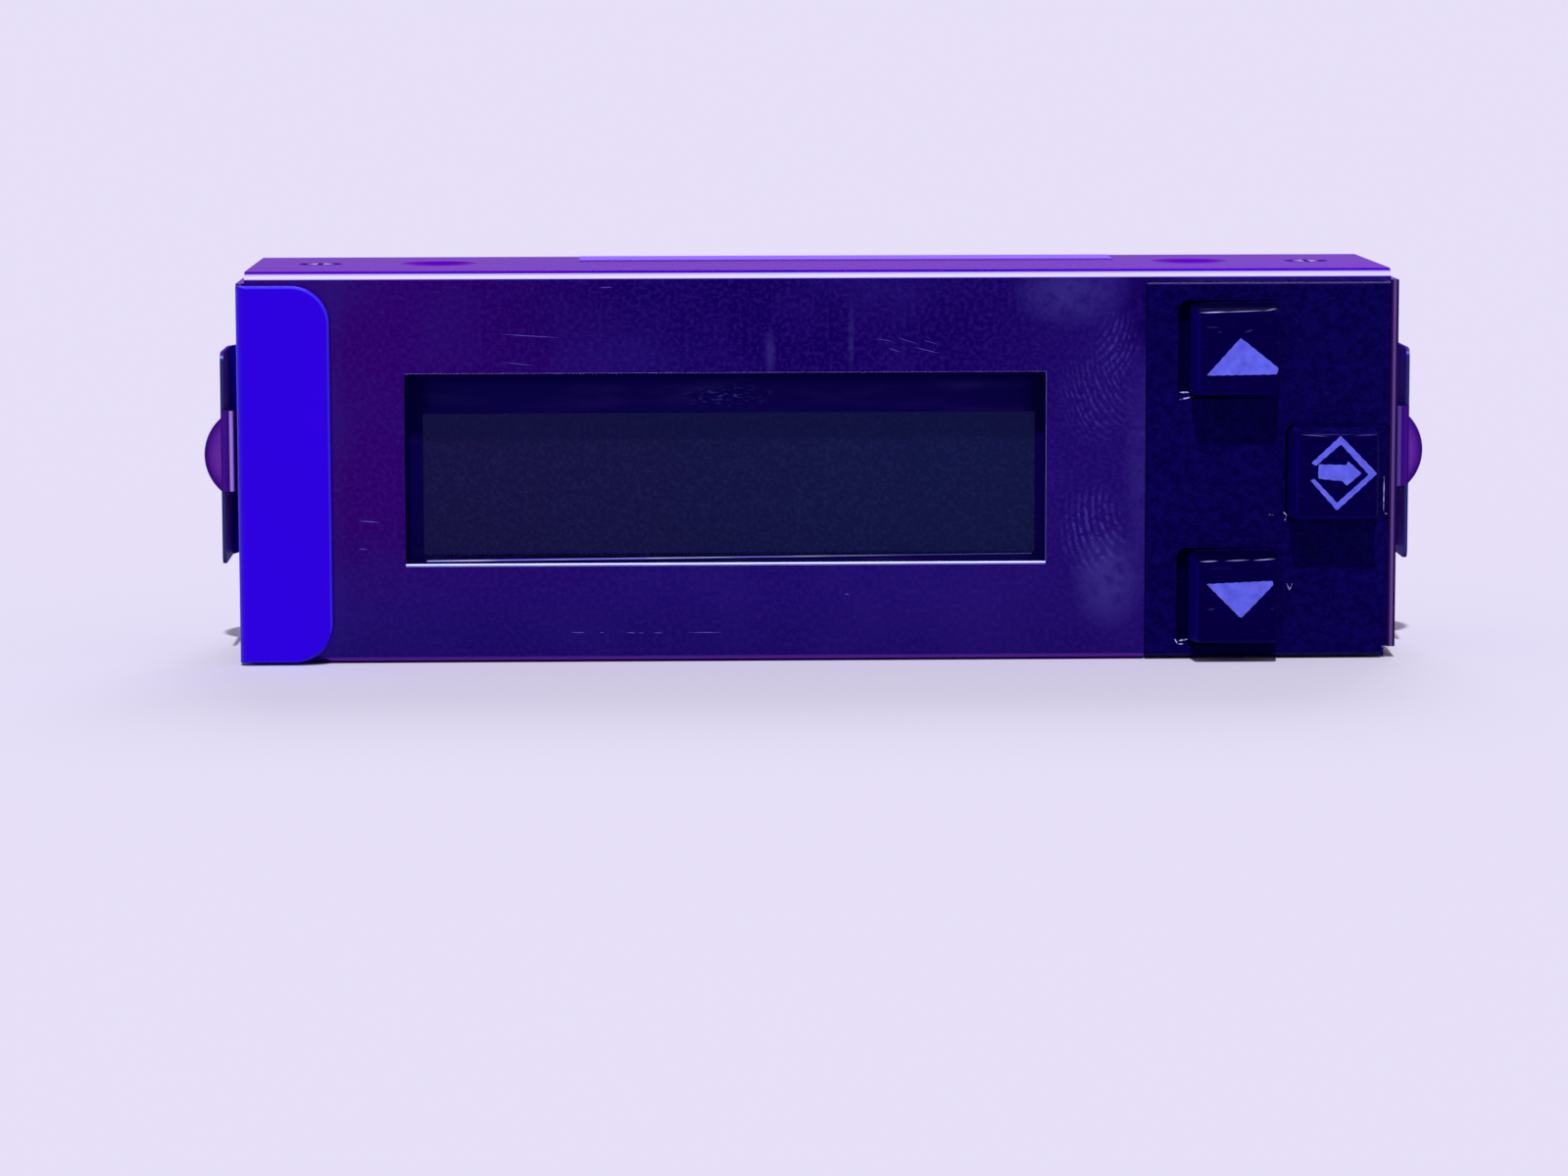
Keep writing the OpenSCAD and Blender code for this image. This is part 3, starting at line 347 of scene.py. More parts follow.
def handling_marks(tree, place, spot, front, tone):
    """Marks on the plating: hairlines, and on its face a pale band by the tab, smears, a dark patch and
    fingerprints.

    Real hairlines are about 0.03 mm wide, and a finger's ridges lie about 0.5 mm apart.
    The hairlines are drawn three times as wide, and the ridges up to 0.7 mm apart, so that they show.
    """
    near_tab = add(tree, "Math", {0: spot["X"], 1: TAB_BAND * MM}, operation="SUBTRACT")
    near_tab = add(tree, "Math", {0: near_tab}, operation="ABSOLUTE")
    near_tab = {"Value": near_tab, "From Min": TAB_BAND_REACH * MM, "From Max": 0.0, "To Max": 0.1}
    near_tab = add(tree, "Math", {0: add(tree, "MapRange", near_tab), 1: front}, operation="MULTIPLY")
    tone = add(tree, "Mix", {SHARE: near_tab, UNDER: tone, OVER: "#3b2c80"}, data_type="RGBA")
    for turn in HAIRLINE_TURNS:
        tone = veil(
            tree, place, tone, "#43309a", HAIRLINE_SIZE, (0.72, 0.8), strength=0.18, detail=1.0, turn=turn,
        )
    for middle, half_size, strength, shade in SMEARS:
        reach = oval(tree, place, middle, half_size, 0.7, strength)
        reach = add(tree, "Math", {0: reach, 1: front}, operation="MULTIPLY")
        tone = veil(tree, place, tone, shade, (1.5, 1.5, 1.5), (0.2, 0.52), strength=reach, detail=3.0)
    for middle, half_size, (ridge_x, ridge_z), spacing, strength in FINGERPRINTS:
        rings = {"Vector": place, "Location": mm(ridge_x, 0, ridge_z)}
        rings["Scale"] = mm(1, SPOT_DEPTH, RIDGE_STRETCH)
        rings = add(tree, "Mapping", rings, vector_type="TEXTURE")
        ridges = {"Vector": rings, "Scale": RING_PERIOD / spacing}
        ridges.update({"Distortion": 8.0, "Detail": 2.0, "Detail Scale": 0.35})
        ridges = add(tree, "TexWave", ridges, wave_type="RINGS", rings_direction="Y").outputs["Fac"]
        reach = oval(tree, place, middle, half_size, 0.5, strength)
        reach = add(tree, "Math", {0: reach, 1: front}, operation="MULTIPLY")
        ridges = {"Value": ridges, "From Min": 0.25, "From Max": 0.9, "To Max": reach}
        ridges = add(tree, "MapRange", ridges)
        tone = veil(
            tree, place, tone, "#5648a8", (0.6, 0.6, 0.6), (0.42, 0.62),
            strength=ridges, detail=3.0, rough=0.7,
        )
    return tone


def fold_highlights_painted(tree, normal, tone):
    """The tone with a painted highlight along the upper fold, and a paler lower fold.

    It gives the roughness too, which is highest along the upper fold.
    """
    # Painted highlight: the upper fold is painted pale where its normal turns up and forward
    forward = add(tree, "Math", {0: normal["Y"], 1: 0.0}, operation="LESS_THAN")
    start, full = UPPER_FOLD_LOW
    foot = add(tree, "MapRange", {"Value": normal["Z"], "From Min": start, "From Max": full})
    start, full = UPPER_FOLD_HIGH
    head = add(tree, "MapRange", {"Value": normal["Z"], "From Min": start, "From Max": full})
    upper = add(tree, "Math", {0: foot, 1: head}, operation="MULTIPLY")
    upper = add(tree, "Math", {0: upper, 1: forward}, operation="MULTIPLY")
    tone = add(tree, "Mix", {SHARE: upper, UNDER: tone, OVER: "#9892d2"}, data_type="RGBA")
    rough = add(tree, "MapRange", {"Value": upper, "To Min": 0.24, "To Max": 0.6})
    start, full = LEVEL_TOP
    rough = {"Value": normal["Z"], "From Min": start, "From Max": full, "To Min": rough, "To Max": 0.27}
    # The lower fold is a little paler
    slope = add(tree, "Math", {0: normal["Y"], 1: normal["Z"]}, operation="MULTIPLY")
    start, full = LOWER_FOLD
    lower = add(tree, "MapRange", {"Value": slope, "From Min": start, "From Max": full})
    tone = add(tree, "Mix", {SHARE: lower, UNDER: tone, OVER: "#5c2f92"}, data_type="RGBA")
    return tone, add(tree, "MapRange", rough)


def cut_wall_ends(tree, spot, front, tone):
    """The tone with the cut ends of the side walls, which are dull but for a painted highlight along them.
    """
    outward = add(tree, "Math", {0: spot["X"]}, operation="ABSOLUTE")
    # Painted highlight along the middle of the walls' cut ends
    edge_highlight = add(tree, "Math", {0: outward, 1: WALL_EDGE_HIGHLIGHT * MM}, operation="SUBTRACT")
    edge_highlight = add(tree, "Math", {0: edge_highlight}, operation="ABSOLUTE")
    start, full = mm(*EDGE_HIGHLIGHT_REACH)
    edge_highlight = add(tree, "MapRange", {"Value": edge_highlight, "From Min": start, "From Max": full})
    cut_tone = add(tree, "Mix", {SHARE: edge_highlight, UNDER: "#241248", OVER: "#6a4a8c"}, data_type="RGBA")
    cut_end = add(tree, "Math", {0: outward, 1: WALL_INSIDE * MM}, operation="GREATER_THAN")
    cut_end = add(tree, "Math", {0: cut_end, 1: front}, operation="MULTIPLY")
    return add(tree, "Mix", {SHARE: cut_end, UNDER: tone, OVER: cut_tone}, data_type="RGBA")


def plated_sheet_steel():
    """Cold rolled sheet steel with a bright plating: a dark mirror whose colour drifts over the sheet.

    It shows hairlines, smears and fingerprints. Its upper fold carries a painted highlight and its lower
    fold is paler, and its cut ends are dull, with a painted highlight along them.
    """
    material, tree, shader, place = new_material(
        "sheet_steel_bright_plated", Metallic=1.0, Specular_Tint="#c400ff",
    )
    spot = add(tree, "SeparateXYZ", {0: place}).outputs
    normal = add(tree, "SeparateXYZ", {0: add(tree, "NewGeometry").outputs["Normal"]}).outputs
    front = add(tree, "Math", {0: normal["Y"], 1: FACE_FORWARD}, operation="LESS_THAN")
    tone = plating_tone(tree, place, spot)
    tone = handling_marks(tree, place, spot, front, tone)
    tone, rough = fold_highlights_painted(tree, normal, tone)
    feed(shader, {"Base Color": cut_wall_ends(tree, spot, front, tone), "Roughness": rough})
    return material


def window_highlight_steel():
    """The same sheet along the window's lower edge, painted pale as a bright highlight."""
    return plain_finish(
        "sheet_steel_highlight_painted", "#8e92da", "#b4bcf0", (3, 0.5, 0.5),
        Metallic=1.0, Roughness=0.5, Specular_Tint="#efeaff",
    )


def scratch_or_faint_highlight_steel():
    """The same sheet under a shallow scratch: only a little paler than the plating round it.

    It also paints faint highlights along the window's upper and right edges.
    """
    return plain_finish(
        "sheet_steel_scratched_or_faint_highlight", "#463494", "#8276c8", (1.2, 1.2, 1.2),
        Metallic=1.0, Roughness=0.35, Specular_Tint="#d0c4ff",
    )


def spring_strip():
    """Spring steel strip, rolled smooth: lighter than the sheet, with fine streaks along the roll.

    Its bend carries a painted dark reflection and a painted highlight along its crest, the front edges of
    its leaves are slate, and the side of a leaf that faces the wall is a diffuse deep blue, which paints
    the shade in the gap.
    """
    material, tree, shader, place = new_material(
        "spring_steel_rolled", Roughness=0.4, Specular_Tint="#40208a",
    )
    spot = add(tree, "SeparateXYZ", {0: place}).outputs
    normal = add(tree, "SeparateXYZ", {0: add(tree, "NewGeometry").outputs["Normal"]}).outputs
    tone = veil(tree, place, "#5c2690", "#7c44aa", (0.4, 0.4, 6))

    # Painted shade: the side of a leaf that faces the wall is a diffuse deep blue and not metal, for the
    # dim gap
    outward = add(tree, "Math", {0: spot["X"]}, operation="ABSOLUTE")
    inside = add(tree, "Math", {0: outward, 1: LEAF_INSIDE * MM}, operation="LESS_THAN")
    behind = add(tree, "Math", {0: spot["Y"], 1: LEAF_FRONT * MM}, operation="GREATER_THAN")
    pocket_shade = add(tree, "Math", {0: inside, 1: behind}, operation="MULTIPLY")
    inward = add(tree, "Math", {0: spot["X"], 1: normal["X"]}, operation="MULTIPLY")
    inward = add(tree, "Math", {0: inward, 1: 0.0}, operation="LESS_THAN")
    pocket_shade = add(tree, "Math", {0: pocket_shade, 1: inward}, operation="MULTIPLY")
    tone = add(tree, "Mix", {SHARE: pocket_shade, UNDER: tone, OVER: "#0800e0"}, data_type="RGBA")
    metal = add(tree, "Math", {0: 1.0, 1: pocket_shade}, operation="SUBTRACT")

    forward = add(tree, "Math", {0: normal["Y"], 1: LEAF_FORWARD}, operation="LESS_THAN")
    edge = add(tree, "Math", {0: spot["Y"], 1: LEAF_FRONT * MM, 2: LEAF_EDGE * MM}, operation="COMPARE")
    edge = add(tree, "Math", {0: forward, 1: edge}, operation="MULTIPLY")
    tone = add(tree, "Mix", {SHARE: edge, UNDER: tone, OVER: "#2e3270"}, data_type="RGBA")
    # Painted dark reflection on the bend, and a painted highlight along its crest, stronger on the left
    # spring
    back, front = mm(BEND_FRONT + BEND_REACH, BEND_FRONT)
    bend = add(tree, "MapRange", {"Value": spot["Y"], "From Min": back, "From Max": front})
    tone = add(tree, "Mix", {SHARE: bend, UNDER: tone, OVER: "#32087a"}, data_type="RGBA")
    start, end = mm(*CREST_HIGHLIGHT_DRIFT)
    leftward = {"Value": spot["X"], "From Min": start, "From Max": end, "To Min": 0.2}
    leftward = add(tree, "MapRange", leftward)
    start, full = (MM * (BEND_FRONT + reach) for reach in CREST_HIGHLIGHT_REACH)
    crest = {"Value": spot["Y"], "From Min": start, "From Max": full, "To Max": leftward}
    crest = add(tree, "MapRange", crest)
    tone = add(tree, "Mix", {SHARE: crest, UNDER: tone, OVER: "#b490e0"}, data_type="RGBA")
    feed(shader, {"Base Color": tone, "Metallic": metal})
    return material


def screw_steel():
    """Turned steel with a zinc plating: a pale satin metal, a little mottled.

    The heads of the cover's screws are matt, painted dark as a dark reflection, with a painted glint in the
    middle.
    """
    material, tree, shader, place = new_material(
        "turned_steel_zinc_plated", Metallic=1.0, Specular_Tint="#8e3cd0",
    )
    tone = veil(tree, place, "#6f5fb4", "#a698dc", (0.6, 0.6, 0.6))
    spot = add(tree, "SeparateXYZ", {0: place}).outputs
    across = add(tree, "Math", {0: spot["X"]}, operation="ABSOLUTE")
    across = add(tree, "Math", {0: across, 1: SCREW_AXIS[0] * MM}, operation="SUBTRACT")
    along = add(tree, "Math", {0: spot["Y"], 1: SCREW_AXIS[1] * MM}, operation="SUBTRACT")
    radius = add(tree, "CombineXYZ", {0: across, 1: along})
    radius = add(tree, "VectorMath", {0: radius}, operation="LENGTH")
    head = add(tree, "Math", {0: radius, 1: SCREW_REACH * MM}, operation="LESS_THAN")
    # Painted glint in the middle of a head, round its recess, on a painted dark reflection
    start, full = mm(*SCREW_GLINT)
    worn = add(tree, "MapRange", {"Value": radius, "From Min": start, "From Max": full})
    normal = add(tree, "SeparateXYZ", {0: add(tree, "NewGeometry").outputs["True Normal"]}).outputs
    flat = add(tree, "Math", {0: normal["Z"]}, operation="ABSOLUTE")
    flat = add(tree, "Math", {0: flat, 1: HEAD_FLAT}, operation="GREATER_THAN")
    worn = add(tree, "Math", {0: worn, 1: flat}, operation="MULTIPLY")
    head_tone = add(tree, "Mix", {SHARE: worn, UNDER: "#3c1478", OVER: "#f4ecff"}, data_type="RGBA")
    tone = add(tree, "Mix", {SHARE: head, UNDER: tone, OVER: head_tone}, data_type="RGBA")
    dark_head_rim = add(tree, "Math", {0: head, 1: worn}, operation="SUBTRACT")
    rough = add(tree, "MapRange", {"Value": dark_head_rim, "To Min": 0.34, "To Max": 0.85})
    feed(shader, {"Base Color": tone, "Roughness": rough})
    return material


def tab_abs():
    """ABS moulded in a polished tool: a deep even blue with a soft gloss.

    A painted highlight runs along its bevels.
    """
    material, tree, shader, place = new_material(
        "abs_moulded_polished", Roughness=0.42, IOR=1.54, Specular_IOR_Level=0.2, Specular_Tint="#4a38ff",
    )
    tone = veil(tree, place, "#2a00d0", "#3000da", (16, 16, 16), detail=1.0)
    normal = add(tree, "SeparateXYZ", {0: add(tree, "NewGeometry").outputs["Normal"]}).outputs
    # Painted highlight along the bevels
    slope = add(tree, "Math", {0: normal["X"], 1: normal["Z"]}, operation="ADD")
    slope = add(tree, "Math", {0: normal["Y"], 1: slope}, operation="MULTIPLY")
    start, full = TAB_BEVEL
    bevel = add(tree, "MapRange", {"Value": slope, "From Min": start, "From Max": full, "To Max": 0.5})
    tone = add(tree, "Mix", {SHARE: bevel, UNDER: tone, OVER: "#483cf4"}, data_type="RGBA")
    feed(shader, {"Base Color": tone})
    return material


def label_stock():
    """Coated paper: pale and matt, with a faint mottle of fibre."""
    return plain_finish(
        "paper_coated", "#7440d6", "#8452e2", (0.5, 0.5, 0.5), detail=3.0,
        Roughness=0.75, IOR=1.45, Specular_Tint="#c8b0ff",
    )


def bezel_abs():
    """ABS moulded in a spark-eroded tool: near black, with a grit that breaks up the light.

    The grit is about 0.1 mm across, and is drawn three times as coarse so that it shows. It lies in clouds
    of about 1 mm. The bevel along the top carries a painted highlight, and the walls of the wells are
    painted darker where they lose the light.
    """
    material, tree, shader, place = new_material(
        "abs_moulded_spark_textured", Roughness=0.5, IOR=1.54,
        Specular_IOR_Level=0.12, Specular_Tint="#2a14ff",
    )
    tone = veil(tree, place, "#040034", "#0c034c", (0.9, 0.9, 0.9), (0.38, 0.64), detail=3.0, rough=0.7)
    tone = veil(tree, place, tone, "#10075c", [GRIT_SIZE] * 3, (0.5, 0.75), strength=0.5, detail=3.0)
    spot = add(tree, "SeparateXYZ", {0: place}).outputs
    start, full = (MM * (BEZEL_FACE + depth) for depth in DIM_DEPTHS)
    dim = add(tree, "MapRange", {"Value": spot["Y"], "From Min": start, "From Max": full})
    tone = add(tree, "Mix", {SHARE: dim, UNDER: tone, OVER: "#04002a"}, data_type="RGBA")
    normal = add(tree, "SeparateXYZ", {0: add(tree, "NewGeometry").outputs["True Normal"]}).outputs
    # Painted highlight along the top bevel
    slope = add(tree, "Math", {0: normal["Y"], 1: normal["Z"]}, operation="MULTIPLY")
    start, full = BEZEL_BEVEL
    bevel = add(tree, "MapRange", {"Value": slope, "From Min": start, "From Max": full})
    start, full = (MM * (BEZEL_TOP - drop) for drop in BEVEL_HIGHLIGHT)
    edge = add(tree, "MapRange", {"Value": spot["Z"], "From Min": start, "From Max": full})
    rubbed = add(tree, "Math", {0: bevel, 1: edge}, operation="MULTIPLY")
    tone = add(tree, "Mix", {SHARE: rubbed, UNDER: tone, OVER: "#b0acff"}, data_type="RGBA")
    grit = add(tree, "TexNoise", {"Vector": place, "Scale": 1 / (GRIT_SIZE * MM), "Detail": 3.0})
    raised = add(tree, "Bump", {"Height": grit, "Distance": GRIT_HEIGHT * MM})
    feed(shader, {"Base Color": tone, "Normal": raised})
    return material


def glint_and_scuff_abs():
    """The same ABS, pale and glossy in patches: painted glints, and one small scuff."""
    return plain_finish(
        "abs_moulded_glints_painted_and_scuffed", "#0e0650", "#c4bcf0", (0.5, 0.5, 0.5), (0.34, 0.54), detail=1.0,
        Roughness=0.25, IOR=1.54, Specular_IOR_Level=0.4, Specular_Tint="#a8a4ff",
    )


def cap_abs():
    """ABS moulded smooth and worn by fingers: black and matt, with pale scuffs.

    Its upper edge carries a painted highlight. The upper sides are painted darker as shade, patchily so on
    the enter cap, and the left and lower sides are painted bluer as fill light.
    """
    material, tree, shader, place = new_material(
        "abs_moulded_worn", Roughness=0.72, IOR=1.54, Specular_IOR_Level=0.06, Specular_Tint="#2a14ff",
    )
    tone = veil(tree, place, "#050038", "#181074", CAP_SCUFFS, (0.62, 0.78), strength=0.4)
    normal = add(tree, "SeparateXYZ", {0: add(tree, "NewGeometry").outputs["True Normal"]}).outputs
    # Painted fill light: the left and lower sides are lifted to a bluer tone
    side = add(tree, "Math", {0: normal["X"], 1: normal["Z"]}, operation="ADD")
    start, full = CAP_OTHER_SIDES
    side = add(tree, "MapRange", {"Value": side, "From Min": start, "From Max": full})
    tone = add(tree, "Mix", {SHARE: side, UNDER: tone, OVER: "#0c0064"}, data_type="RGBA")
    # Painted shade: the upper sides are darker, with paler patches on the enter cap
    along = add(tree, "SeparateXYZ", {0: place}).outputs["X"]
    on_enter = add(tree, "Math", {0: along, 1: ENTER_SIDE * MM}, operation="GREATER_THAN")
    top_shade_tone = veil(tree, place, "#020024", "#0e0660", CAP_SCUFFS, (0.3, 0.7), strength=on_enter)
    start, full = CAP_UPPER_SIDE
    upper_side_shade = add(tree, "MapRange", {"Value": normal["Z"], "From Min": start, "From Max": full})
    tone = add(tree, "Mix", {SHARE: upper_side_shade, UNDER: tone, OVER: top_shade_tone}, data_type="RGBA")
    # Painted highlights along the upper edges of the caps, and scuffs on their faces
    for x, z, half_length, half_width, tilt, strength in CAP_HIGHLIGHTS_AND_SCUFFS:
        highlight_or_scuff = oval(tree, place, (x, z), (half_length, half_width), 0.6, strength, tilt)
        tone = add(tree, "Mix", {SHARE: highlight_or_scuff, UNDER: tone, OVER: "#c8c4ff"}, data_type="RGBA")
    feed(shader, {"Base Color": tone})
    return material


def mark_ink():
    """Screen ink on the caps: pale, matt and a little uneven."""
    return plain_finish(
        "ink_screen_printed", "#5054cc", "#6668ea", (1.1, 1.1, 1.1), (0.3, 0.7),
        Roughness=0.6, Specular_Tint="#8a8cff",
    )


def frame_paint():
    """Stamped steel, painted black: matt and faintly streaked, with a patch rubbed in assembly.

    Its ends and its upper edge lie in deep shade.
    """
    material, tree, shader, place = new_material(
        "stamped_steel_black_painted", Roughness=0.5, Specular_IOR_Level=0.2, Specular_Tint="#3420ff",
    )
    tone = veil(tree, place, "#12064e", "#342c78", (8, 1.6, 1.6), (0.5, 0.78), strength=0.3)
    reach = oval(tree, place, *RUBBED_PATCH, 1.0, 1.3)
    tone = veil(tree, place, tone, "#3c3a9c", (0.9, 0.25, 0.25), (0.54, 0.66), strength=reach)
    spot = add(tree, "SeparateXYZ", {0: place}).outputs
    for start, end in FRAME_END_SHADES:
        shade = {"Value": spot["X"], "From Min": start * MM, "From Max": end * MM, "To Max": 0.75}
        shade = add(tree, "MapRange", shade)
        tone = add(tree, "Mix", {SHARE: shade, UNDER: tone, OVER: "#05003a"}, data_type="RGBA")
    low, high = mm(*FRAME_SHADE)
    shade = add(tree, "MapRange", {"Value": spot["Z"], "From Min": low, "From Max": high})
    tone = add(tree, "Mix", {SHARE: shade, UNDER: tone, OVER: "#06003e"}, data_type="RGBA")
    feed(shader, {"Base Color": tone})
    return material


def display_glass():
    """Soda-lime glass under a polarising film, unlit: a dark sheet that shows mostly the sheen of its film.

    The cell behind it gives a faint speckle, and it drifts from violet on the left to blue on the right.
    """
    material, tree, shader, place = new_material(
        "glass_polarised_unlit", Roughness=0.14, IOR=1.62,
        Specular_IOR_Level=0.74, Specular_Tint="#4e52c4",
    )
    along = add(tree, "SeparateXYZ", {0: place}).outputs["X"]
    start, end = mm(*DISPLAY_DRIFT)
    drift = add(tree, "MapRange", {"Value": along, "From Min": start, "From Max": end})
    tone = add(tree, "Mix", {SHARE: drift, UNDER: "#0e0318", OVER: "#040a1c"}, data_type="RGBA")
    tone = veil(tree, place, tone, "#202450", (0.35, 0.35, 0.35), (0.46, 0.72), strength=0.32)
    feed(shader, {"Base Color": tone})
    return material


def film_edge_highlight():
    """Cellulose film, cut: its raw edge is painted pale as a highlight line, brightest at its left end."""
    material, tree, shader, place = new_material(
        "cellulose_film_cut_highlight_painted", Roughness=0.4, IOR=1.49, Specular_Tint="#9a90ff",
    )
    # Painted highlight along the cut edge, fading towards the right
    bright = veil(tree, place, "#7a72f0", "#c8c6ff", (8, 1, 1), (0.4, 0.65))
    along = add(tree, "SeparateXYZ", {0: place}).outputs["X"]
    start, end = mm(*FILM_FADE)
    fade = add(tree, "MapRange", {"Value": along, "From Min": start, "From Max": end})
    tone = add(tree, "Mix", {SHARE: fade, UNDER: bright, OVER: "#241c6c"}, data_type="RGBA")
    feed(shader, {"Base Color": tone})
    return material


def white_acetal():
    """Acetal, moulded: a pale plastic with a low gloss."""
    return plain_finish(
        "acetal_moulded", "#cdcff0", "#dbddf8", (4, 4, 4), detail=1.0, Roughness=0.45, IOR=1.48,
    )


def black_nylon():
    """Glass-filled nylon, moulded: black and slightly grainy."""
    return plain_finish(
        "nylon_glass_filled_moulded", "#0a0430", "#12093f", (0.3, 0.3, 0.3),
        Roughness=0.55, IOR=1.53, Specular_Tint="#4a34d8",
    )


def striped_silicone():
    """Silicone strip with conductive layers, cut: black and matt, with fine stripes across its length."""
    return plain_finish("silicone_layered_cut", "#0a0530", "#1a1346", (0.2, 5, 5), Roughness=0.8, IOR=1.41)


def solder_mask():
    """Glass-fibre board under solder mask: green, with a soft gloss and a faint weave."""
    return plain_finish(
        "glass_fibre_solder_masked", "#195030", "#22643a", (0.5, 0.5, 0.5), Roughness=0.38, IOR=1.5,
    )


def chip_epoxy():
    """Epoxy, transfer moulded: charcoal and matt, with a fine grit."""
    return plain_finish("epoxy_moulded", "#0a0622", "#140d32", (0.15, 0.15, 0.15), Roughness=0.6, IOR=1.55)


def pin_brass():
    """Drawn brass with a thin plating: a warm pale metal."""
    return plain_finish(
        "brass_drawn_plated", "#a88e4e", "#c0a664", (0.8, 0.8, 0.8), Metallic=1.0, Roughness=0.3,
    )


def drawn_can():
    """Aluminium, deep drawn: bright, with faint lines along the draw."""
    return plain_finish(
        "aluminium_deep_drawn", "#817eaa", "#9c99c0", (0.2, 4, 0.2), Metallic=1.0, Roughness=0.32,
    )


def printed_outline(corners):
    """The edge of a printed mark: it wavers a little, and its corners are cut round."""
    points = []
    for i, corner in enumerate(corners):
        start = Vector(corner)
        along = Vector(corners[(i + 1) % len(corners)]) - start
        across = Vector((-along.y, along.x)).normalized()
        count = max(2, round(along.length / MARK_STEP))
        for k in range(count):
            waver = MARK_WAVER * math.sin(WAVER_BY_STEP * k + WAVER_BY_EDGE * i) if k else 0.0
            points.append(start + along * k / count + across * waver)
    for _ in range(CORNER_CUTS):
        ends = zip(points, points[1:] + points[:1])
        points = [start.lerp(end, share) for start, end in ends for share in CUT_SHARES]
    return points


def add_prism(shape, outline, proud, sunk):
    """Adds a thin closed plate to a shape: an outline that stands proud of its face and goes in behind."""
    front = shape.faces.new([shape.verts.new((x, y - proud, z)) for x, y, z in outline])
    grown = bmesh.ops.extrude_face_region(shape, geom=[front])["geom"]
    back = [vert for vert in grown if isinstance(vert, bmesh.types.BMVert)]
    bmesh.ops.translate(shape, vec=(0, proud + sunk, 0), verts=back)


def new_mesh(name, shape, material):
    """The mesh that a shape becomes, in one material."""
    mesh = bpy.data.meshes.new(name)
    shape.to_mesh(mesh)
    shape.free()
    mesh.materials.append(material)
    return mesh


def show(name, data):
    """A new object of the scene, from a mesh, a curve, a lamp or a camera."""
    shown = bpy.data.objects.new(name, data)
    bpy.context.scene.collection.objects.link(shown)
    return shown


def add_piece(name, data, body):
    """Adds a mesh or a curve as a piece that rides on a body."""
    piece = show(name, data)
    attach(piece, body)


def add_solid(name, shape, material, body):
    """Adds a closed shape as a piece, with its faces turned outward."""
    bmesh.ops.recalc_face_normals(shape, faces=shape.faces[:])
    add_piece(name, new_mesh(name, shape, material), body)


def print_mark(name, corners, button, ink):
    """A printed mark on the face of a button's cap, which moves with that button."""
    low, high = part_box(f"{button}_switch_plunger")
    middle = (low + high) / 2
    middle.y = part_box(f"{button}_button_cap")[0].y
    outline = [middle + Vector((point.x, 0, point.y)) * MM for point in printed_outline(corners)]
    shape = bmesh.new()
    add_prism(shape, outline, MARK_PROUD * MM, MARK_SUNK * MM)
    bmesh.ops.triangulate(shape, faces=shape.faces[:])
    add_solid(name, shape, ink, f"{button}_button")


def scratch(name, lines, face_y, finish):
    """Short raised slivers on a face of the module, each pointed at its ends: scratches, or painted glints.
    """
    shape = bmesh.new()
    for x0, z0, x1, z1, width in lines:
        start, end = Vector((x0, z0)), Vector((x1, z1))
        side = Vector((z0 - z1, x1 - x0)).normalized() * width / 2
        third = (end - start) / 3
        near, far = start + third, end - third
        ring = [start, near - side, far - side, end, far + side, near + side]
        outline = [(x * MM, face_y, z * MM) for x, z in ring]
        add_prism(shape, outline, SCRATCH_PROUD * MM, SCRATCH_SUNK * MM)
    add_solid(name, shape, finish, "module")


def edge_bead(name, points, radius, finish):
    """The rounded front of a cut edge: a fine bar let into the edge along the points given."""
    curve = bpy.data.curves.new(name, "CURVE")
    curve.dimensions = "3D"
    curve.bevel_depth = radius * MM
    curve.bevel_resolution = BEAD_STEPS
    curve.use_fill_caps = True
    spline = curve.splines.new("POLY")
    spline.points.add(len(points) - 1)
    for spot, point in zip(spline.points, points):
        spot.co = (*point, 1)
    curve.materials.append(finish)
    add_piece(name, curve, "module")


def round_window(bright_highlight, dull):
    """The window's rounded edges, which catch the light.

    A bright painted highlight runs along the bottom, and faint ones along the top and the right.
    """
    left, right, bottom, top = mm(*WINDOW)
    face_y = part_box("front_cover")[0].y
    ends = {
        "lower": (left, bottom, right, bottom),
        "upper": (left, top, right, top),
        "right": (right, bottom, right, top),
    }
    outward = {"lower": (0, -1), "upper": (0, 1), "right": (1, 0)}
    for side, (x0, z0, x1, z1) in ends.items():
        radius = EDGE_RADII[side]
        inset = BEAD_INSET * radius * MM
        x, z = (inset * share for share in outward[side])
        points = [(x0 + x, face_y + inset, z0 + z), (x1 + x, face_y + inset, z1 + z)]
        # Painted highlights: bright along the lower edge, faint along the upper and right edges, the dull
        # ones
        finish = bright_highlight if side == "lower" else dull
        edge_bead(f"window_{side}_edge", points, radius, finish)


def edge_film(film):
    """The cut lower edge of the film over the display, which carries a painted highlight line."""
    x0, z0, x1, z1 = mm(*FILM_EDGE)
    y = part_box("lcd_frame")[0].y
    edge_bead("display_film_edge", [(x0, y, z0), (x1, y, z1)], FILM_EDGE_RADIUS, film)


def round_outline(left, right, bottom, top, radius):
    """The outline of a rectangle with round corners, in x and z."""
    middles = [(right - radius, top - radius), (left + radius, top - radius)]
    middles += [(left + radius, bottom + radius), (right - radius, bottom + radius)]
    outline = []
    for i, (x, z) in enumerate(middles):
        for k in range(CORNER_STEPS + 1):
            turn = math.tau / 4 * (i + k / CORNER_STEPS)
            outline.append((x + radius * math.cos(turn), z + radius * math.sin(turn)))
    return outline


